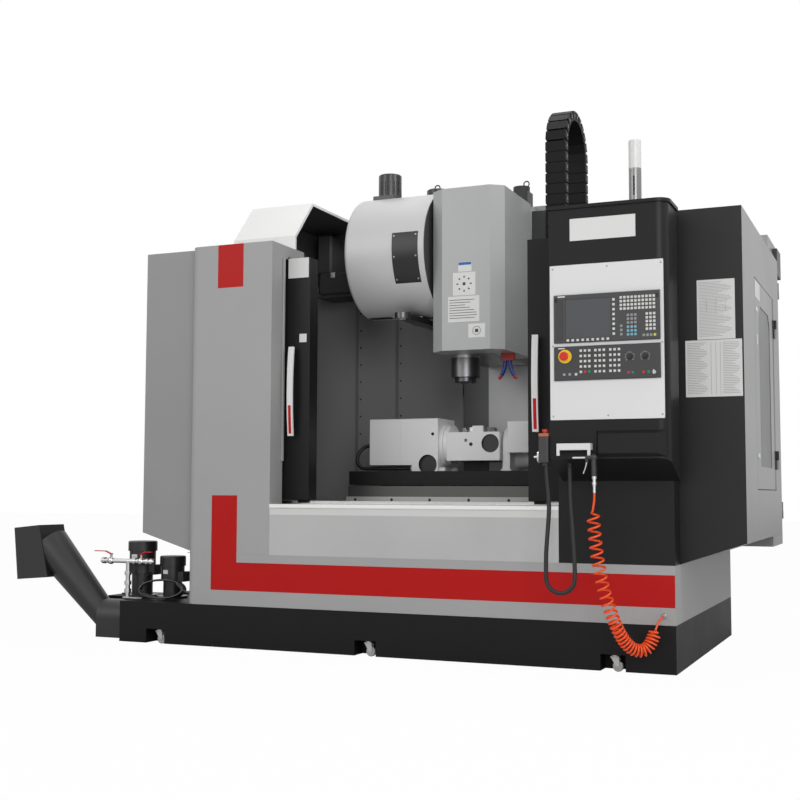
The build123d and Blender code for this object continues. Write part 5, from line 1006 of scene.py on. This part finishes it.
# %% Fittings
hose_union = [((union_x, -0.800, union_z), (0, -1, 0), 0.0125, 0.006),
              ((union_x, -0.8055, union_z), (0, -1, 0), 0.0095, 0.009)]
small_parts("air_union", screw_steel, "frame", heads=hose_union)
b = bmesh.new()
ring, tube, eye_x, eye_y, eye_z = 0.017, 0.0042, 0.112, 0.800, 2.7440
ring_steps, tube_steps = 20, 8
rows = []
for k in range(ring_steps):
    round_angle = 2 * math.pi * k / ring_steps
    rows.append([b.verts.new((eye_x + (ring + tube * math.cos(a)) * math.cos(round_angle),
                              eye_y + tube * math.sin(a),
                              eye_z + (ring + tube * math.cos(a)) * math.sin(round_angle)))
                 for a in (2 * math.pi * j / tube_steps for j in range(tube_steps))])
for first, second in zip(rows, rows[1:] + rows[:1]):
    for j in range(tube_steps):
        b.faces.new((first[j], second[j], second[(j + 1) % tube_steps], first[(j + 1) % tube_steps]))
head(b, (eye_x, eye_y, 2.7235), (0, 0, 1), 0.009, 0.007)
b.normal_update()
new_object("lifting_eye", meshed("lifting_eye", b), motor_black, "frame")
small_parts("pump_plates", sheet_white, "frame", flats=[
    ((-1.780, -0.5935, 0.452), (0.036, 0.003, 0.028)),
    ((-1.575, -0.5850, 0.372), (0.030, 0.003, 0.022)),
])
print("fittings done")

# %% [markdown]
# The studio has a bright, even surround, a pale floor and four soft lamps. The surround is white to
# the camera, to reflections and through glass, but weaker as a light, so that white panels keep
# their shading. A light path node tells those rays apart.

# %% Surround
world = bpy.data.worlds.new("studio_world")
bpy.context.scene.world = world
world.use_nodes = True
sky = world.node_tree
backdrop = sky.nodes["Background"]
backdrop.inputs["Color"].default_value = (1, 1, 1, 1)
rays = add(sky, "ShaderNodeLightPath").outputs
seen = add(sky, "ShaderNodeMath", {0: rays["Is Camera Ray"], 1: rays["Is Glossy Ray"]}, operation="MAXIMUM")
through = add(sky, "ShaderNodeMath", {0: seen.outputs[0], 1: rays["Is Transmission Ray"]},
              operation="MAXIMUM")
surround_light = 0.36
level = add(sky, "ShaderNodeMapRange",
            {"Value": through.outputs[0], "To Min": surround_light, "To Max": 1.0})
sky.links.new(level.outputs["Result"], backdrop.inputs["Strength"])
print("surround: white to the camera,", surround_light, "as a light")

# %% [markdown]
# The floor is one large matt face. To the camera most of its colour is a glow of the surround's own
# white, so no horizon shows, and the small matt share that is left keeps the machine's shadow.

# %% Floor
floor_half, floor_glow = 30, 0.97
b = bmesh.new()
for x, y in ((-1, -1), (1, -1), (1, 1), (-1, 1)):
    b.verts.new((x * floor_half, y * floor_half, 0))
b.faces.new(b.verts)
floor_finish = bpy.data.materials.new("floor_pale")
floor_finish.use_nodes = True
tree = floor_finish.node_tree
matt = tree.nodes["Principled BSDF"]
matt.inputs["Base Color"].default_value = (0.86, 0.86, 0.86, 1)
matt.inputs["Roughness"].default_value = 0.9
matt.inputs["Specular IOR Level"].default_value = 0.0
glow = add(tree, "ShaderNodeEmission", {"Color": (1, 1, 1, 1)})
camera_ray = add(tree, "ShaderNodeLightPath").outputs["Is Camera Ray"]
share = add(tree, "ShaderNodeMath", {0: camera_ray, 1: floor_glow}, operation="MULTIPLY")
both = add(tree, "ShaderNodeMixShader", {0: share.outputs[0], 1: matt.outputs[0], 2: glow.outputs[0]})
tree.links.new(both.outputs[0], tree.nodes["Material Output"].inputs["Surface"])
floor = new_object("studio_floor", meshed("studio_floor", b), floor_finish, None)
print("floor:", 2 * floor_half, "m wide")

# %% [markdown]
# Large square lamps give soft shadows. The key stands to the right of the camera, the fill is weaker
# and comes from the left, one small lamp lights the right side and one hangs over the machine.

# %% Lamps
def soft_lamp(name, place, aim, size, power):
    """A square area lamp that points at a place."""
    data = bpy.data.lights.new(name, "AREA")
    data.shape = "SQUARE"
    data.size = size
    data.energy = power
    lamp = bpy.data.objects.new(name, data)
    bpy.context.scene.collection.objects.link(lamp)
    lamp.location = place
    lamp.rotation_euler = (Vector(aim) - Vector(place)).to_track_quat("-Z", "Y").to_euler()


machine_middle = (0, 0, 1.2)
soft_lamp("key_lamp", (3.6, -7.0, 3.0), machine_middle, 3.5, 190)
soft_lamp("fill_lamp", (-4.0, -6.0, 4.0), machine_middle, 3.5, 85)
soft_lamp("side_lamp", (4.0, -1.2, 4.5), (1.4, 0.2, 2.3), 1.6, 55)
soft_lamp("top_lamp", (0.0, 0.5, 7.0), (0, 0.2, 0), 4.0, 110)
print("lamps:", len(bpy.data.lights))
